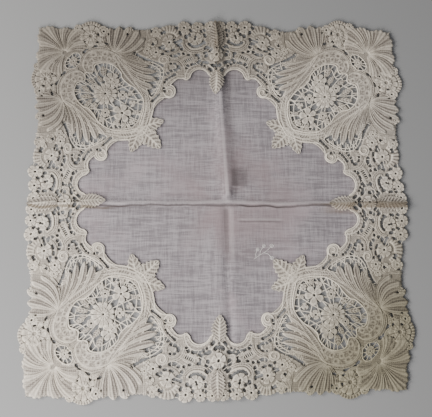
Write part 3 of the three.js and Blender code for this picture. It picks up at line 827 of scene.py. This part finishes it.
def depth_inside(x, y, outline):
    """How far each point lies inside a closed outline, negative outside it."""
    points = np.array(outline, float)
    nearest = np.full(x.shape, np.inf)
    inside = np.zeros(x.shape, bool)
    for (ax, ay), (bx, by) in zip(points, np.roll(points, -1, axis=0)):
        dx, dy = bx - ax, by - ay
        t = np.clip(((x - ax) * dx + (y - ay) * dy) / max(dx * dx + dy * dy, 1e-9), 0, 1)
        nearest = np.minimum(nearest, (x - ax - t * dx) ** 2 + (y - ay - t * dy) ** 2)
        if dy != 0:
            inside ^= ((ay > y) != (by > y)) & (x < ax + (y - ay) * dx / dy)
    return np.where(inside, 1, -1) * np.sqrt(nearest)


def from_slit(x, y, slit):
    """How far each point lies outside a slit with round ends."""
    mid_x, mid_y, long, wide, turn = slit
    half = max(0.0, (long - wide) / 2)
    c, s = math.cos(math.radians(turn)), math.sin(math.radians(turn))
    along = (x - mid_x) * c + (y - mid_y) * s
    across = -(x - mid_x) * s + (y - mid_y) * c
    return np.hypot(along - np.clip(along, -half, half), across) - wide / 2


def from_slits(x, y):
    away = np.full(x.shape, np.inf)
    for slit in SLITS + HUBS:
        away = np.minimum(away, from_slit(x, y, slit))
    return away - SLIT_ROOM


def cut_cloth(name, grid, depth, relief):
    """Fills a square with cloth wherever depth(x, y) is above 0, and draws its edges to where that is 0."""
    pitch, reach = grid["pitch"], grid["reach"]
    work = Needlework()
    segments = int(reach / pitch)
    made = bmesh.ops.create_grid(work.bm, x_segments=segments, y_segments=segments, size=reach / 2)
    verts = made["verts"]
    x, y = np.array([v.co.xy for v in verts]).T + reach / 2
    kept = []
    gone = []
    for vert, px, py, d in zip(verts, x, y, depth(x, y)):
        vert.co = (px, py, 0)
        (gone if d < -0.5 * pitch else kept).append(vert)
    bmesh.ops.delete(work.bm, geom=gone, context="VERTS")
    loose = [v for v in kept if not v.link_faces]
    bmesh.ops.delete(work.bm, geom=loose, context="VERTS")
    kept = [v for v in kept if v.is_valid]
    edge = [v for v in kept if v.is_boundary]
    for _ in range(2):
        ex = np.array([v.co.x for v in edge])
        ey = np.array([v.co.y for v in edge])
        here, gx, gy = slope(depth, ex, ey, 0.05)
        move = np.clip(here / np.maximum(gx * gx + gy * gy, 0.25), -pitch, pitch)
        move = move * ((ex > 1e-6) & (ey > 1e-6))
        for vert, mx, my in zip(edge, move * gx, move * gy):
            vert.co.x -= mx
            vert.co.y -= my
    z, thin = relief(np.array([v.co.x for v in kept]), np.array([v.co.y for v in kept]))
    for vert, pz, pt in zip(kept, z, thin):
        vert.co.z = pz
        vert[work.thin] = pt
    return work.finished(name)


def linen_outline():
    return [(0, 0), *LINEN_EDGE, *swapped(LINEN_EDGE)[::-1][1:]]


def medallion_outline():
    one = [on_diagonal(a, -b) for a, b in OPENING_HALF]
    other = [on_diagonal(a, b) for a, b in OPENING_HALF]
    return smooth_path([*one, *other[::-1][1:-1]], 90, closed=True)


def corner_outline():
    return smooth_path(CORNER_GROUND, 36, closed=True)


def outer_edge(along):
    """How far out the ground reaches, at each place along half a side."""
    arches = OUTER_EDGE["arch"] * np.abs(np.sin(along * math.pi / OUTER_EDGE["arch width"]))
    return OUTER_EDGE["reach"] + OUTER_EDGE["further"] * (1 - smoothstep(along, 30, 33)) + arches


def leaf_slit():
    start, end = LEAF_SLIT["start"], LEAF_SLIT["end"]
    turn = math.degrees(math.atan2(end[1] - start[1], end[0] - start[0]))
    return *between(start, end, 0.5), math.dist(start, end), LEAF_SLIT["width"], turn


# The pieces, each for a quarter.


def ground_depth(x, y):
    a, b = np.minimum(x, y), np.maximum(x, y)
    depth = outer_edge(a) - b
    for outline in (linen_outline(), medallion_outline(), corner_outline()):
        depth = np.minimum(depth, -depth_inside(x, y, outline))
    depth = np.minimum(depth, -depth_inside(a, b, smooth_path(TIP_GROUND, 44, closed=True)))
    return np.minimum(depth, np.minimum(from_slits(a, b), from_slit(a, b, leaf_slit())))


def ground_relief(x, y):
    """A cord round each hole and along each edge, and dotted stitches further in."""
    depth = ground_depth(x, y)
    cord = hump(depth, 0.5, 0.5)
    dots = 0.5 + 0.5 * np.cos(4.1 * x) * np.cos(4.1 * y)
    fade = smoothstep(depth, 0.9, 1.5)
    z = HEIGHT["ground"] + RELIEF["ground rim"] * cord + RELIEF["ground dot"] * dots * fade
    thin = (0.66 - 0.34 * dots) * fade + 0.5 * (1 - cord) * (1 - fade)
    return z, thin


def linen_depth(x, y):
    """The linen goes on a little under the lace, and past the middles so that it isn't drawn in there."""
    past, there = PAST_MIDDLE
    outline = [(past, past), (past, there), *linen_outline()[1:], (there, past)]
    return depth_inside(x, y, outline) + LINEN_UNDER_LACE


def linen_relief(x, y):
    """Flat, and marked along its turned edge."""
    return np.full(x.shape, HEIGHT["linen"]), smoothstep(linen_depth(x, y), 3.2, 2.2)


def palm_lines(fingers):
    """Where each finger of a palm leaf runs, blended from one row of its table to the next."""
    table = np.array(fingers)
    count = len(table)

    def lines(u):
        at = np.clip(u * count - 0.5, 0, count - 1)
        root, x, y, bow, notch = (np.interp(at, np.arange(count), column) for column in table.T)
        return u * count, between(PALM["base"], PALM["end"], root), (x, y), bow, notch

    return lines


def fan_reach(angle):
    c, s = np.cos(angle), np.sin(angle)
    room = FAN["edge"] - FAN["centre"]
    out = room / np.maximum(np.maximum(c, s), 0.01)
    inward = FAN["inward"] / np.maximum(0.72, -np.minimum(c, s))
    return np.where(np.minimum(c, s) < 0, np.minimum(out, inward), out)


def half_leaves():
    work = Needlework()
    leaf = HEIGHT["leaf"]
    for fingers in (UPPER_FINGERS, LOWER_FINGERS):
        across = len(fingers) * PALM_STYLE["strands"] * 4
        work.ribbed(palm_lines(fingers), across, PALM["along"], RELIEF["palm rib"], leaf, **PALM_STYLE)
    for flower in FLOWERS:
        work.flower(*flower)
    for x, y, radius in PADS:
        work.pad(x, y, radius, HEIGHT["scroll"])
    for x, y, inner, outer, start, end, ribs in CAPS:
        height, turns = RELIEF["cap rib"], (start, end)
        work.fan(x, y, outer, inner, turns, ribs, height, leaf, notch=0.1, along=6, crest=0.32)
    for path, width, stitches, tapered in SCROLLS:
        work.ribbon(path, width, stitches, tapered)
    work.open_slits()
    return work.finished("half_leaves")


def whole_leaves():
    """What lies across the diagonal."""
    work = Needlework()
    at, height = FAN["centre"], RELIEF["corner rib"]
    work.fan(at, at, fan_reach, FAN["hub"], FAN["turns"], FAN["ribs"], height, HEIGHT["leaf"], **FAN_STYLE)
    rim = [*RIM["half"], RIM["middle"], *swapped(RIM["half"])[::-1]]
    work.ribbon(rim, RIM["width"], RIM["stitches"], True)
    for flower in MEDALLION_FLOWERS:
        work.flower(*flower)
    for root, tip, width in MEDALLION_LEAVES:
        work.feather(root, tip, width, 4, slant=0.8)
    for x, y, width, barbs in VINE_LEAVES:
        work.feather(VINE_ROOT, (x, y), width, barbs, floor=HEIGHT["leaf"], slant=1.2)
    work.flower(*CORNER_FLOWER)
    return work


def work_leaves():
    half = half_leaves()
    return joined("leaves", [half, mirrored_on_diagonal(half)], whole_leaves())


def in_scene(name, data):
    made = bpy.data.objects.new(name, data)
    bpy.context.scene.collection.objects.link(made)
    return made


class Cords:
    """Threads laid flat, all on one curve: each is a path, in millimetres, at a height, with a width."""

    def __init__(self, name):
        self.curve = bpy.data.curves.new(name, "CURVE")
        self.curve.dimensions = "3D"
        self.curve.bevel_depth = 0.5
        self.curve.bevel_resolution = 1
        self.curve.use_fill_caps = True

    def lay_cord(self, path, width, height=HEIGHT["cord"], spacing=1.0, closed=False):
        steps = max(2, int(length_of(path) / spacing))
        points = smooth_path(path, steps, closed)
        if closed:
            points = points[:-1]
        spline = self.curve.splines.new("POLY")
        spline.points.add(len(points) - 1)
        for point, (x, y) in zip(spline.points, points):
            point.co = (x, y, height, 1)
            point.radius = width
        spline.use_cyclic_u = closed

    def bar_slit(self, slit):
        """A slanting bar across a slit, near its middle."""
        x, y, long, wide, turn = slit
        c, s = math.cos(math.radians(turn)), math.sin(math.radians(turn))
        bx, by = x + 0.05 * long * c, y + 0.05 * long * s
        dx, dy = -s * (wide / 2 + 0.6), c * (wide / 2 + 0.6)
        self.lay_cord([(bx - dx, by - dy), (bx + dx + 0.4 * c, by + dy + 0.4 * s)], CORD["slit bar"])

    def made(self):
        thread = in_scene(self.curve.name, self.curve)
        mesh = bpy.data.meshes.new_from_object(thread.evaluated_get(bpy.context.evaluated_depsgraph_get()))
        bpy.data.objects.remove(thread)
        return mesh


def half_cords():
    cords = Cords("half_cords")
    cords.lay_cord(LINEN_EDGE, CORD["edge"], HEIGHT["cord"] + 0.1)
    cords.lay_cord(TIP_GROUND, CORD["rim"], closed=True)
    for start, end in TIP_BARS:
        cords.lay_cord([start, end], CORD["tip bar"])
    cords.lay_cord(TIP_THREAD, CORD["net"])
    for x, y, radius in PADS[:2]:
        curl = [(x + t * radius * c, y + t * radius * s) for t, c, s in CURL]
        cords.lay_cord(curl, CORD["curl"], HEIGHT["scroll"] + 0.3, 0.9)
    for i in range(LEAF_SLIT["bars"]):
        x, y = between(LEAF_SLIT["start"], LEAF_SLIT["end"], (i + 0.7) / LEAF_SLIT["bars"])
        cords.lay_cord([(x - 1.4, y - 2.4), (x + 1.2, y + 2.2)], CORD["slit bar"])
    for slit in SLITS:
        if slit[2] > BARRED_SLIT:
            cords.bar_slit(slit)
    return cords.made()


def reach_of_opening(x, y, angle, outline):
    """How far it is from a point to an opening's edge in one direction."""
    far = np.arange(1.0, 60.0, 0.5)
    px, py = x + far * math.cos(angle), y + far * math.sin(angle)
    outside = np.nonzero(depth_inside(px, py, outline) < 0)[0]
    return float(far[outside[0]]) if len(outside) else 0.0


def lay_rim_net(cords, outline):
    """The net inside the medallion's rim: a cord that follows the rim, and slanting bars between the two."""
    inward = np.roll(outline, -1, axis=0) - np.roll(outline, 1, axis=0)
    inward = np.stack([-inward[:, 1], inward[:, 0]], axis=1) / np.hypot(*inward.T)[:, None]
    if depth_inside(*(outline[:1] + inward[:1]).T, outline)[0] < 0:
        inward = -inward
    steps = RIM_NET["bars"] * 2
    net = smooth_path(outline[::3] + inward[::3] * RIM_NET["depth"], steps, closed=True)
    cords.lay_cord(net[:-1], CORD["net"], spacing=1.8, closed=True)
    rim = smooth_path(outline, steps, closed=True)
    for i in range(0, steps, 2):
        cords.lay_cord([rim[i], net[i + (i // 2) % 2]], CORD["net bar"], spacing=2.6)


def lay_bars_from(cords, flower, count, outline):
    """Bars from a flower to the edge of the opening it stands in, not quite evenly spaced or straight."""
    x, y, radius = flower[:3]
    for i in range(count):
        angle = 2 * math.pi * (i + 0.5 * random.random()) / count
        far = reach_of_opening(x, y, angle, outline) + 0.8
        if far > radius:
            bend = angle + 0.1 * (random.random() - 0.5)
            stops = [(0.8 * radius, angle), (0.6 * far + 0.1 * radius, bend), (far, angle)]
            path = [(x + out * math.cos(turn), y + out * math.sin(turn)) for out, turn in stops]
            cords.lay_cord(path, CORD["bar"], spacing=2.6)


def whole_cords():
    """The cords across the diagonal: round the medallion and the corner ground, and inside both."""
    cords = Cords("whole_cords")
    medallion = medallion_outline()
    corner = corner_outline()
    cords.lay_cord(medallion[:-1], CORD["edge"], HEIGHT["cord"] + 0.25, closed=True)
    cords.lay_cord(corner[:-1], CORD["rim"], HEIGHT["cord"] + 0.2, closed=True)
    lay_rim_net(cords, medallion[:-1])
    daisy, rose = MEDALLION_FLOWERS[:2]
    lay_bars_from(cords, daisy, BARS_FROM["daisy"], medallion)
    lay_bars_from(cords, rose, BARS_FROM["rose"], medallion)
    lay_bars_from(cords, CORNER_FLOWER, BARS_FROM["corner flower"], corner)
    return cords.made()


def work_cords():
    half = half_cords()
    return joined("cords", [half, mirrored_on_diagonal(half), whole_cords()], merged=False)


# The pieces made whole.

QUARTERS = {
    "top_right": (1, 1),
    "top_left": (-1, 1),
    "bottom_left": (-1, -1),
    "bottom_right": (1, -1),
}


def work_linen():
    """The linen is one sheet: its quarter is mirrored twice and joined along its middles."""
    quarter = cut_cloth("linen_quarter", GRIDS["linen"], linen_depth, linen_relief)
    copies = []
    for turn in QUARTERS.values():
        copy = quarter.copy()
        copy.transform(Matrix.Diagonal((*turn, 1, 1)))
        if turn[0] * turn[1] < 0:
            copy.flip_normals()
        copies.append(copy)
    return joined("linen_cloth", copies)


def work_sprays():
    """The sprays in the middles of the four sides."""
    work = Needlework()
    for root, tip, width, barbs in SPRAYS:
        work.feather(root, tip, width, barbs, floor=HEIGHT["scroll"] + 0.3)
    work.flower(*SPRAY_FLOWER, floor=HEIGHT["flower"] + 0.25)
    one = work.finished("spray")
    copies = []
    for quarter_turns in range(4):
        copy = one.copy()
        copy.transform(Matrix.Rotation(quarter_turns * math.pi / 2, 4, "Z"))
        copies.append(copy)
    return joined("lace_sprays", copies)


def work_sprig():
    cords = Cords("sprig")
    ox, oy = SPRIG["at"]
    for stem in SPRIG["stems"]:
        cords.lay_cord([(x + ox, y + oy) for x, y in stem], CORD["stem"], HEIGHT["sprig"], 0.8)
    for x, y, radius in SPRIG["buds"]:
        outer, inner = ring(x + ox, y + oy, radius, 10), ring(x + ox, y + oy, radius * 0.4, 6)
        cords.lay_cord(outer, CORD["bud"], HEIGHT["sprig"], 0.6, closed=True)
        cords.lay_cord(inner, CORD["stem"], HEIGHT["sprig"] + 0.02, 0.4, closed=True)
    return cords.made()


# Finishes.

# Painted shade and highlights of the folds: the line that each is measured from, where it fades in and out
# beside that line, the part of the cloth that shows it, and how strong it is. The "crest" marks are painted
# highlights on the crests, and the "crease" marks are painted shade beside the folds, with a painted shadow
# patch above the level one.
FOLD_PAINTED_LIGHT = {
    "crest": [
        ("level", (-0.8, 0.2, 1.0, 2.7), "all", 0.44),
        ("above", (-1.8, -0.4, 0.6, 2.0), "upper", 0.34),
        ("below", (2.6, 4.0, 5.2, 7.4), "lower", 0.22),
        ("y", (-14.2, -13.4, -12.8, -11.2), "short", 0.35),
    ],
    "crease": [
        ("level", (-3.0, -2.0, -1.6, -0.6), "all", 0.74),
        ("level", (-2.6, -2.0, -1.7, -1.0), "sharp", 0.35),
        ("y", (-8.5, -4.0, -2.8, -1.4), "under", 0.30),
        ("above", (1.0, 3.0, 6.6, 12.0), "upper", 0.30),
        ("below", (-2.2, -0.4, 1.2, 3.0), "lower", 0.45),
        ("y", (-15.8, -15.0, -14.6, -13.9), "short", 0.45),
        ("y", (14.0, 15.2, 26.2, 32.0), "patch", 0.42),
    ],
}
FOLD_PARTS = {
    # along, where it fades in and out
    "all": ("x", (-200, -190, 190, 200)),
    "upper": ("y", (4, 10, 190, 200)),
    "lower": ("y", (-58, -36, -6, -2)),
    "short": ("x", (13, 19, 48, 56)),
    "sharp": ("x", (12, 22, 44, 60)),
    "under": ("x", (-98, -84, -46, -20)),
    "patch": ("x", (9.5, 12.5, 22.5, 26.0)),
}
SPECULAR = 0.2


class Value:
    """A socket's number, on which + - * work as on numbers."""

    def __init__(self, finish, socket):
        self.finish = finish
        self.socket = socket

    def maths(self, operation, first, second):
        return self.finish.node("ShaderNodeMath", {"operation": operation}, {0: first, 1: second})[0]

    def __add__(self, other):
        return self.maths("ADD", self, other)

    def __radd__(self, other):
        return self.maths("ADD", other, self)

    def __sub__(self, other):
        return self.maths("SUBTRACT", self, other)

    def __rsub__(self, other):
        return self.maths("SUBTRACT", other, self)

    def __mul__(self, other):
        return self.maths("MULTIPLY", self, other)

    def __rmul__(self, other):
        return self.maths("MULTIPLY", other, self)

    def clipped(self):
        return self.finish.node("ShaderNodeClamp", {}, {0: self})[0]


class Outputs:
    """A node's outputs by name or number, as Values."""

    def __init__(self, finish, node):
        self.finish = finish
        self.node = node

    def __getitem__(self, key):
        return Value(self.finish, self.node.outputs[key])


class Finish:
    """A material. Each node comes from node(), and its outputs are Values. Places are in millimetres."""

    def __init__(self, name):
        self.material = bpy.data.materials.new(name)
        self.material.use_nodes = True
        self.tree = self.material.node_tree
        self.tree.nodes.clear()
        self.place = self.node("ShaderNodeTexCoord")["Object"]

    def node(self, kind, settings=None, inputs=None):
        made = self.tree.nodes.new(kind)
        for key, setting in (settings or {}).items():
            setattr(made, key, setting)
        for key, value in (inputs or {}).items():
            socket = made.inputs[key]
            if isinstance(value, Value):
                self.tree.links.new(value.socket, socket)
            elif isinstance(value, tuple) and len(value) == 3 and socket.type == "RGBA":
                socket.default_value = (*value, 1)
            else:
                socket.default_value = value
        return Outputs(self, made)

    def noise(self, scale, detail=3.0, roughness=0.55, stretch=(1, 1, 1)):
        where = self.node("ShaderNodeMapping", {}, {"Vector": self.place, "Scale": stretch})[0]
        inputs = {"Vector": where, "Scale": scale, "Detail": detail, "Roughness": roughness}
        return self.node("ShaderNodeTexNoise", {}, inputs)[0]

    def mixed(self, share, first, second, blend="MIX"):
        settings = {"data_type": "RGBA", "blend_type": blend}
        return self.node("ShaderNodeMix", settings, {0: share, 6: first, 7: second})[2]

    # Multiplies in a darker tone: painted shade, or a corner's yellowing that carries painted shade too.
    def aged_and_painted_shade(self, share, base, darkening):
        return self.mixed(share, base, AGEING_AND_PAINTED_SHADE[darkening], "MULTIPLY")

    def step(self, value, low, high):
        """0 at `low` and 1 at `high`, smooth between them."""
        inputs = {"Value": value, "From Min": low, "From Max": high}
        return self.node("ShaderNodeMapRange", {"interpolation_type": "SMOOTHSTEP"}, inputs)[0]

    def band(self, value, start, full, ebb, end):
        """1 from `full` to `ebb`, 0 before `start` and after `end`."""
        return self.step(value, start, full) * self.step(value, end, ebb)

    def attribute(self, name):
        return self.node("ShaderNodeAttribute", {"attribute_name": name})["Fac"]

    def place_along(self, axis):
        return self.node("ShaderNodeSeparateXYZ", {}, {0: self.place})[axis] * (1 / MM)

    def surface(self, colour, roughness, height, height_size, alpha=1.0, sheen=0.0):
        bump = {"Strength": 1.0, "Distance": height_size, "Height": height}
        inputs = {
            "Base Color": colour,
            "Roughness": roughness,
            "Normal": self.node("ShaderNodeBump", {}, bump)[0],
            "Alpha": alpha,
            "Sheen Weight": sheen,
            "Specular IOR Level": SPECULAR,
        }
        shader = self.node("ShaderNodeBsdfPrincipled", {}, inputs)[0]
        self.node("ShaderNodeOutputMaterial", {}, {"Surface": shader})
        return self.material


def painted_fold_light(finish, base):
    """Painted shade beside the folds, painted highlights on their crests, and a painted shadow patch above
    the level one.
    """
    x, y = finish.place_along("X"), finish.place_along("Y")
    lines = {"x": x, "y": y, "level": y + (finish.noise(30.0, 2.0) - 0.5) * 6.0}
    for side in ("above", "below"):
        place, lean = CREASE[side]
        lines[side] = x + y * -lean - (place + OFF_CENTRE[0])
    parts = {part: finish.band(lines[along], *fades) for part, (along, fades) in FOLD_PARTS.items()}
    for colour, marks in FOLD_PAINTED_LIGHT.items():
        shown = 0
        for line, fades, part, strength in marks:
            shown = finish.band(lines[line], *fades) * parts[part] * strength + shown
        base = finish.mixed(shown.clipped(), base, COLOURS[colour])
    return base


def stains_and_painted_shade(finish, base):
    """The brown staining along the level fold, painted shade of the folds on the lace's left and top, the
    pink middle, painted shade over the top and the top left, and the yellowing of the bottom right corner,
    darkened further as painted shade.
    """
    x, y = finish.place_along("X"), finish.place_along("Y")
    spots = finish.noise(170.0, 4.0, 0.65)

    ragged = y + (spots - 0.5) * 2.2
    spread = finish.step(x, 80, 128) * 1.6
    right = finish.band(ragged, spread * -1 - 2.4, spread * -1 - 0.6, spread - 0.1, spread + 1.0)
    right = right * finish.step(x, 66, 92) * (spots * 0.9 + 0.35)
    # Painted shade of the level fold on the lace's left, in the same brown as the staining.
    left = finish.band(y + (finish.noise(26.0, 2.0) - 0.5) * 10, -4.4, -3.4, -2.2, -1.2)
    left = left * finish.step(x, -80, -92) * (spots * 0.5 + 0.55)
    # Painted shade of the upright fold on the lace at the top, in the same brown as the staining.
    top = finish.band(x, -3.0, -1.2, 1.6, 4.0) * finish.step(y, 100, 116) * spots
    seep = finish.band(y, -10, -5, -3, -1) * finish.band(x, 78, 94, 108, 124)

    away = (x - 18) * (x - 18) + (y - 4) * (y - 4)
    middle = finish.step(away, 4200, 300) * finish.step(finish.noise(30.0, 3.0), 0.30, 0.62)
    # The bottom right corner: real yellowing, and darkened further as painted shade.
    corner = finish.step(x - y, 120, 240) * finish.step(finish.noise(14.0, 3.0), -0.2, 0.42)
    # Painted shade: darker towards the top and a little towards the right, and darker still towards the top
    # left.
    painted_top_shade_share = finish.step(y, 80, 150) * 0.74 + finish.step(x, 50, 160) * 0.12
    dim = finish.step(y - x * 0.5, 56, 164)

    base = finish.mixed(middle * 0.55, base, COLOURS["blush"])
    base = finish.aged_and_painted_shade(painted_top_shade_share.clipped(), base, "dusky")
    base = finish.aged_and_painted_shade(dim * 0.86, base, "dim")
    base = finish.aged_and_painted_shade((corner * 0.9).clipped(), base, "yellowed")
    base = finish.mixed((seep * spots * 0.7).clipped(), base, COLOURS["seeped"])
    # The real staining on the right, and the painted fold shade on the left and at the top, all in one brown.
    return finish.mixed((right * 0.85 + left * 0.8 + top * 0.6).clipped(), base, COLOURS["stain"])


def lace_finish(name, lighter=1.0):
    """Ivory thread, darker where it is worked openly, most of all between its small stitches."""
    finish = Finish(name)
    patches, blotches = finish.noise(22.0, 4.0), finish.noise(190.0, 3.0)
    stitches, grain = finish.noise(1900.0, 2.0, 0.6), finish.noise(420.0, 3.0, 0.6)
    light, shade = tuple(min(1.0, c * lighter) for c in COLOURS["lace light"]), COLOURS["lace shade"]
    base = finish.mixed(finish.step(patches, 0.45, 0.75) * 0.30, light, COLOURS["lace warm"])
    base = finish.mixed(finish.step(grain, 0.62, 0.30) * 0.24, base, shade)
    base = finish.mixed(finish.step(blotches, 0.54, 0.36) * 0.16, base, shade)
    dots = {"Vector": finish.place, "Scale": 640.0, "Randomness": 0.35}
    filling = finish.step(finish.node("ShaderNodeTexVoronoi", {}, dots)[0], 0.30, 0.52)
    base = finish.mixed((finish.attribute("thin") * (0.92 + filling * 0.42)).clipped(), base, shade)
    return finish.surface(stains_and_painted_shade(finish, base), 0.92, stitches + grain * 0.6, 0.00016, sheen=0.15)


def linen_finish():
    """Sheer linen: fine warp and weft, thicker slubs, and its rows a little uneven."""
    finish = Finish("sheer linen")
    warp = finish.noise(1.0, 3.0, 0.6, stretch=(1500, 110, 1500))
    weft = finish.noise(1.0, 3.0, 0.6, stretch=(110, 1500, 1500))
    slubs = finish.noise(1.0, 2.0, 0.6, stretch=(520, 26, 520))
    rows = finish.noise(1.0, 2.0, 0.6, stretch=(34, 640, 640))
    pink = finish.noise(24.0, 4.0, 0.6)
    streaks = warp * 0.45 + weft * 0.55 + slubs * 0.35 + rows * 0.65
    base = finish.mixed(finish.step(streaks, 0.82, 1.18), COLOURS["linen dark"], COLOURS["linen light"])
    base = finish.mixed(finish.step(pink, 0.46, 0.70) * 0.5, base, COLOURS["linen pink"])
    base = finish.mixed(finish.attribute("thin") * 0.35, base, COLOURS["linen light"])
    # The folds' painted shade and highlights go on over the staining.
    base = painted_fold_light(finish, stains_and_painted_shade(finish, base))
    return finish.surface(base, 0.95, warp + weft, 0.00012, alpha=0.93, sheen=0.1)


def floor_finish():
    finish = Finish("plain floor")
    tone = finish.noise(3.0, 3.0)
    pale = COLOURS["floor"]
    base = finish.mixed(tone * 0.12, pale, tuple(c * 0.9 for c in pale))
    return finish.surface(base, 0.8, tone, 0.0001)


def thread_finish():
    finish = Finish("white thread")
    strands = finish.noise(2600.0, 2.0)
    base = finish.mixed(strands * 0.4, COLOURS["white thread"], COLOURS["linen light"])
    return finish.surface(base, 0.7, strands, 0.0001, sheen=0.1)


# The laid handkerchief.

# The record's slot and the CAD node of each piece of either kind.
LINEN = ("linen", "linen_centre")
LACE = ("lace", "lace_border")
# The floor, in metres, lies a little below the cloth.
FLOOR = {"half side": 3, "gap": 0.00005}


def laid(name, mesh, finish, kind, thickness=None, turn=(1, 1)):
    """A piece: a mesh laid in its place, with a finish, and with walls where it is worked as a sheet."""
    lay(mesh, turn)
    mesh.materials.clear()
    mesh.materials.append(finish)
    mesh.polygons.foreach_set("use_smooth", [True] * len(mesh.polygons))
    made = in_scene(name, mesh)
    if thickness:
        wall = made.modifiers.new("thickness", "SOLIDIFY")
        wall.thickness = thickness * MM
        wall.offset = -1
    slot, node = kind
    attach(made, "root")
    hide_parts(node)
    return made


def laid_quarters(name, mesh, finish, thickness=None):
    return {
        quarter: laid(f"{name}_{quarter}", mesh.copy(), finish, LACE, thickness, turn)
        for quarter, turn in QUARTERS.items()
    }


def lay_floor():
    mesh = bpy.data.meshes.new("floor")
    work = bmesh.new()
    bmesh.ops.create_grid(work, x_segments=2, y_segments=2, size=FLOOR["half side"])
    bmesh.ops.translate(work, verts=work.verts, vec=(0, 0, -FLOOR["gap"]))
    work.to_mesh(mesh)
    work.free()
    mesh.materials.append(floor_finish())
    floor = in_scene("floor", mesh)


ivory_lace = lace_finish("ivory lace")
lace_ground = lace_finish("lace ground", 0.86)
ivory_cord = lace_finish("ivory cord", 1.12)

lay_floor()
linen_cloth = laid("linen_cloth", work_linen(), linen_finish(), LINEN, THICKNESS["linen"])
sprig = laid("linen_sprig", work_sprig(), thread_finish(), LINEN)
ground = cut_cloth("ground", GRIDS["ground"], ground_depth, ground_relief)
grounds = laid_quarters("lace_ground", ground, lace_ground, THICKNESS["ground"])
leaves = laid_quarters("lace_leaves", work_leaves(), ivory_lace, THICKNESS["lace"])
cords = laid_quarters("lace_cords", work_cords(), ivory_cord)
sprays = laid("lace_sprays", work_sprays(), ivory_lace, LACE, THICKNESS["lace"])

for name in QUARTERS:
    carried = [leaves[name], cords[name]]
    carried + ([sprays] if name == "top_right" else [])


# Light and camera, in metres.

LAMPS = {
    # place, aim, size, power, colour
    "window": ((-0.78, 0.06, 0.46), (-0.02, 0, 0), 0.40, 9.4, (1.0, 0.985, 0.95)),
    "fill": ((-0.40, -0.50, 0.40), (-0.10, -0.10, 0), 0.40, 7.4, (1.0, 0.99, 0.985)),
}
DAYLIGHT = 0.34
# The camera looks down from the bottom edge's side, a little to the left. Its roll is in radians.
CAMERA = {
    "place": (-0.0457, -0.1613, 0.7490),
    "aim": (-0.0009, -0.0045, 0.0),
    "roll": -0.0089,
    "lens": 79.06,
    "sensor": 36,
    "near": 0.01,
}


def light_studio():
    for name, (place, aim, size, power, colour) in LAMPS.items():
        lamp = bpy.data.lights.new(name, "AREA")
        lamp.shape = "SQUARE"
        lamp.size = size
        lamp.energy = power
        lamp.color = colour
        made = in_scene(name, lamp)
        made.location = place
        made.rotation_euler = (Vector(aim) - Vector(place)).to_track_quat("-Z", "Y").to_euler()
    world = bpy.data.worlds.new("studio")
    world.use_nodes = True
    background = world.node_tree.nodes["Background"]
    background.inputs["Color"].default_value = (*COLOURS["daylight"], 1)
    background.inputs["Strength"].default_value = DAYLIGHT
    bpy.context.scene.world = world


def place_camera():
    off = Vector((*OFF_CENTRE, 0)) * MM
    place = Vector(CAMERA["place"]) + off
    back = (place - Vector(CAMERA["aim"]) - off).normalized()
    right = Vector((0, 1, 0)).cross(back).normalized()
    up = back.cross(right)
    c, s = math.cos(CAMERA["roll"]), math.sin(CAMERA["roll"])
    axes = Matrix((c * right + s * up, c * up - s * right, back)).transposed().to_4x4()
    lens = bpy.data.cameras.new("camera")
    lens.lens = CAMERA["lens"]
    lens.sensor_width = CAMERA["sensor"]
    lens.sensor_fit = "HORIZONTAL"
    lens.clip_start = CAMERA["near"]
    made = in_scene("camera", lens)
    made.matrix_world = Matrix.Translation(place) @ axes
    bpy.context.scene.camera = made


light_studio()
place_camera()
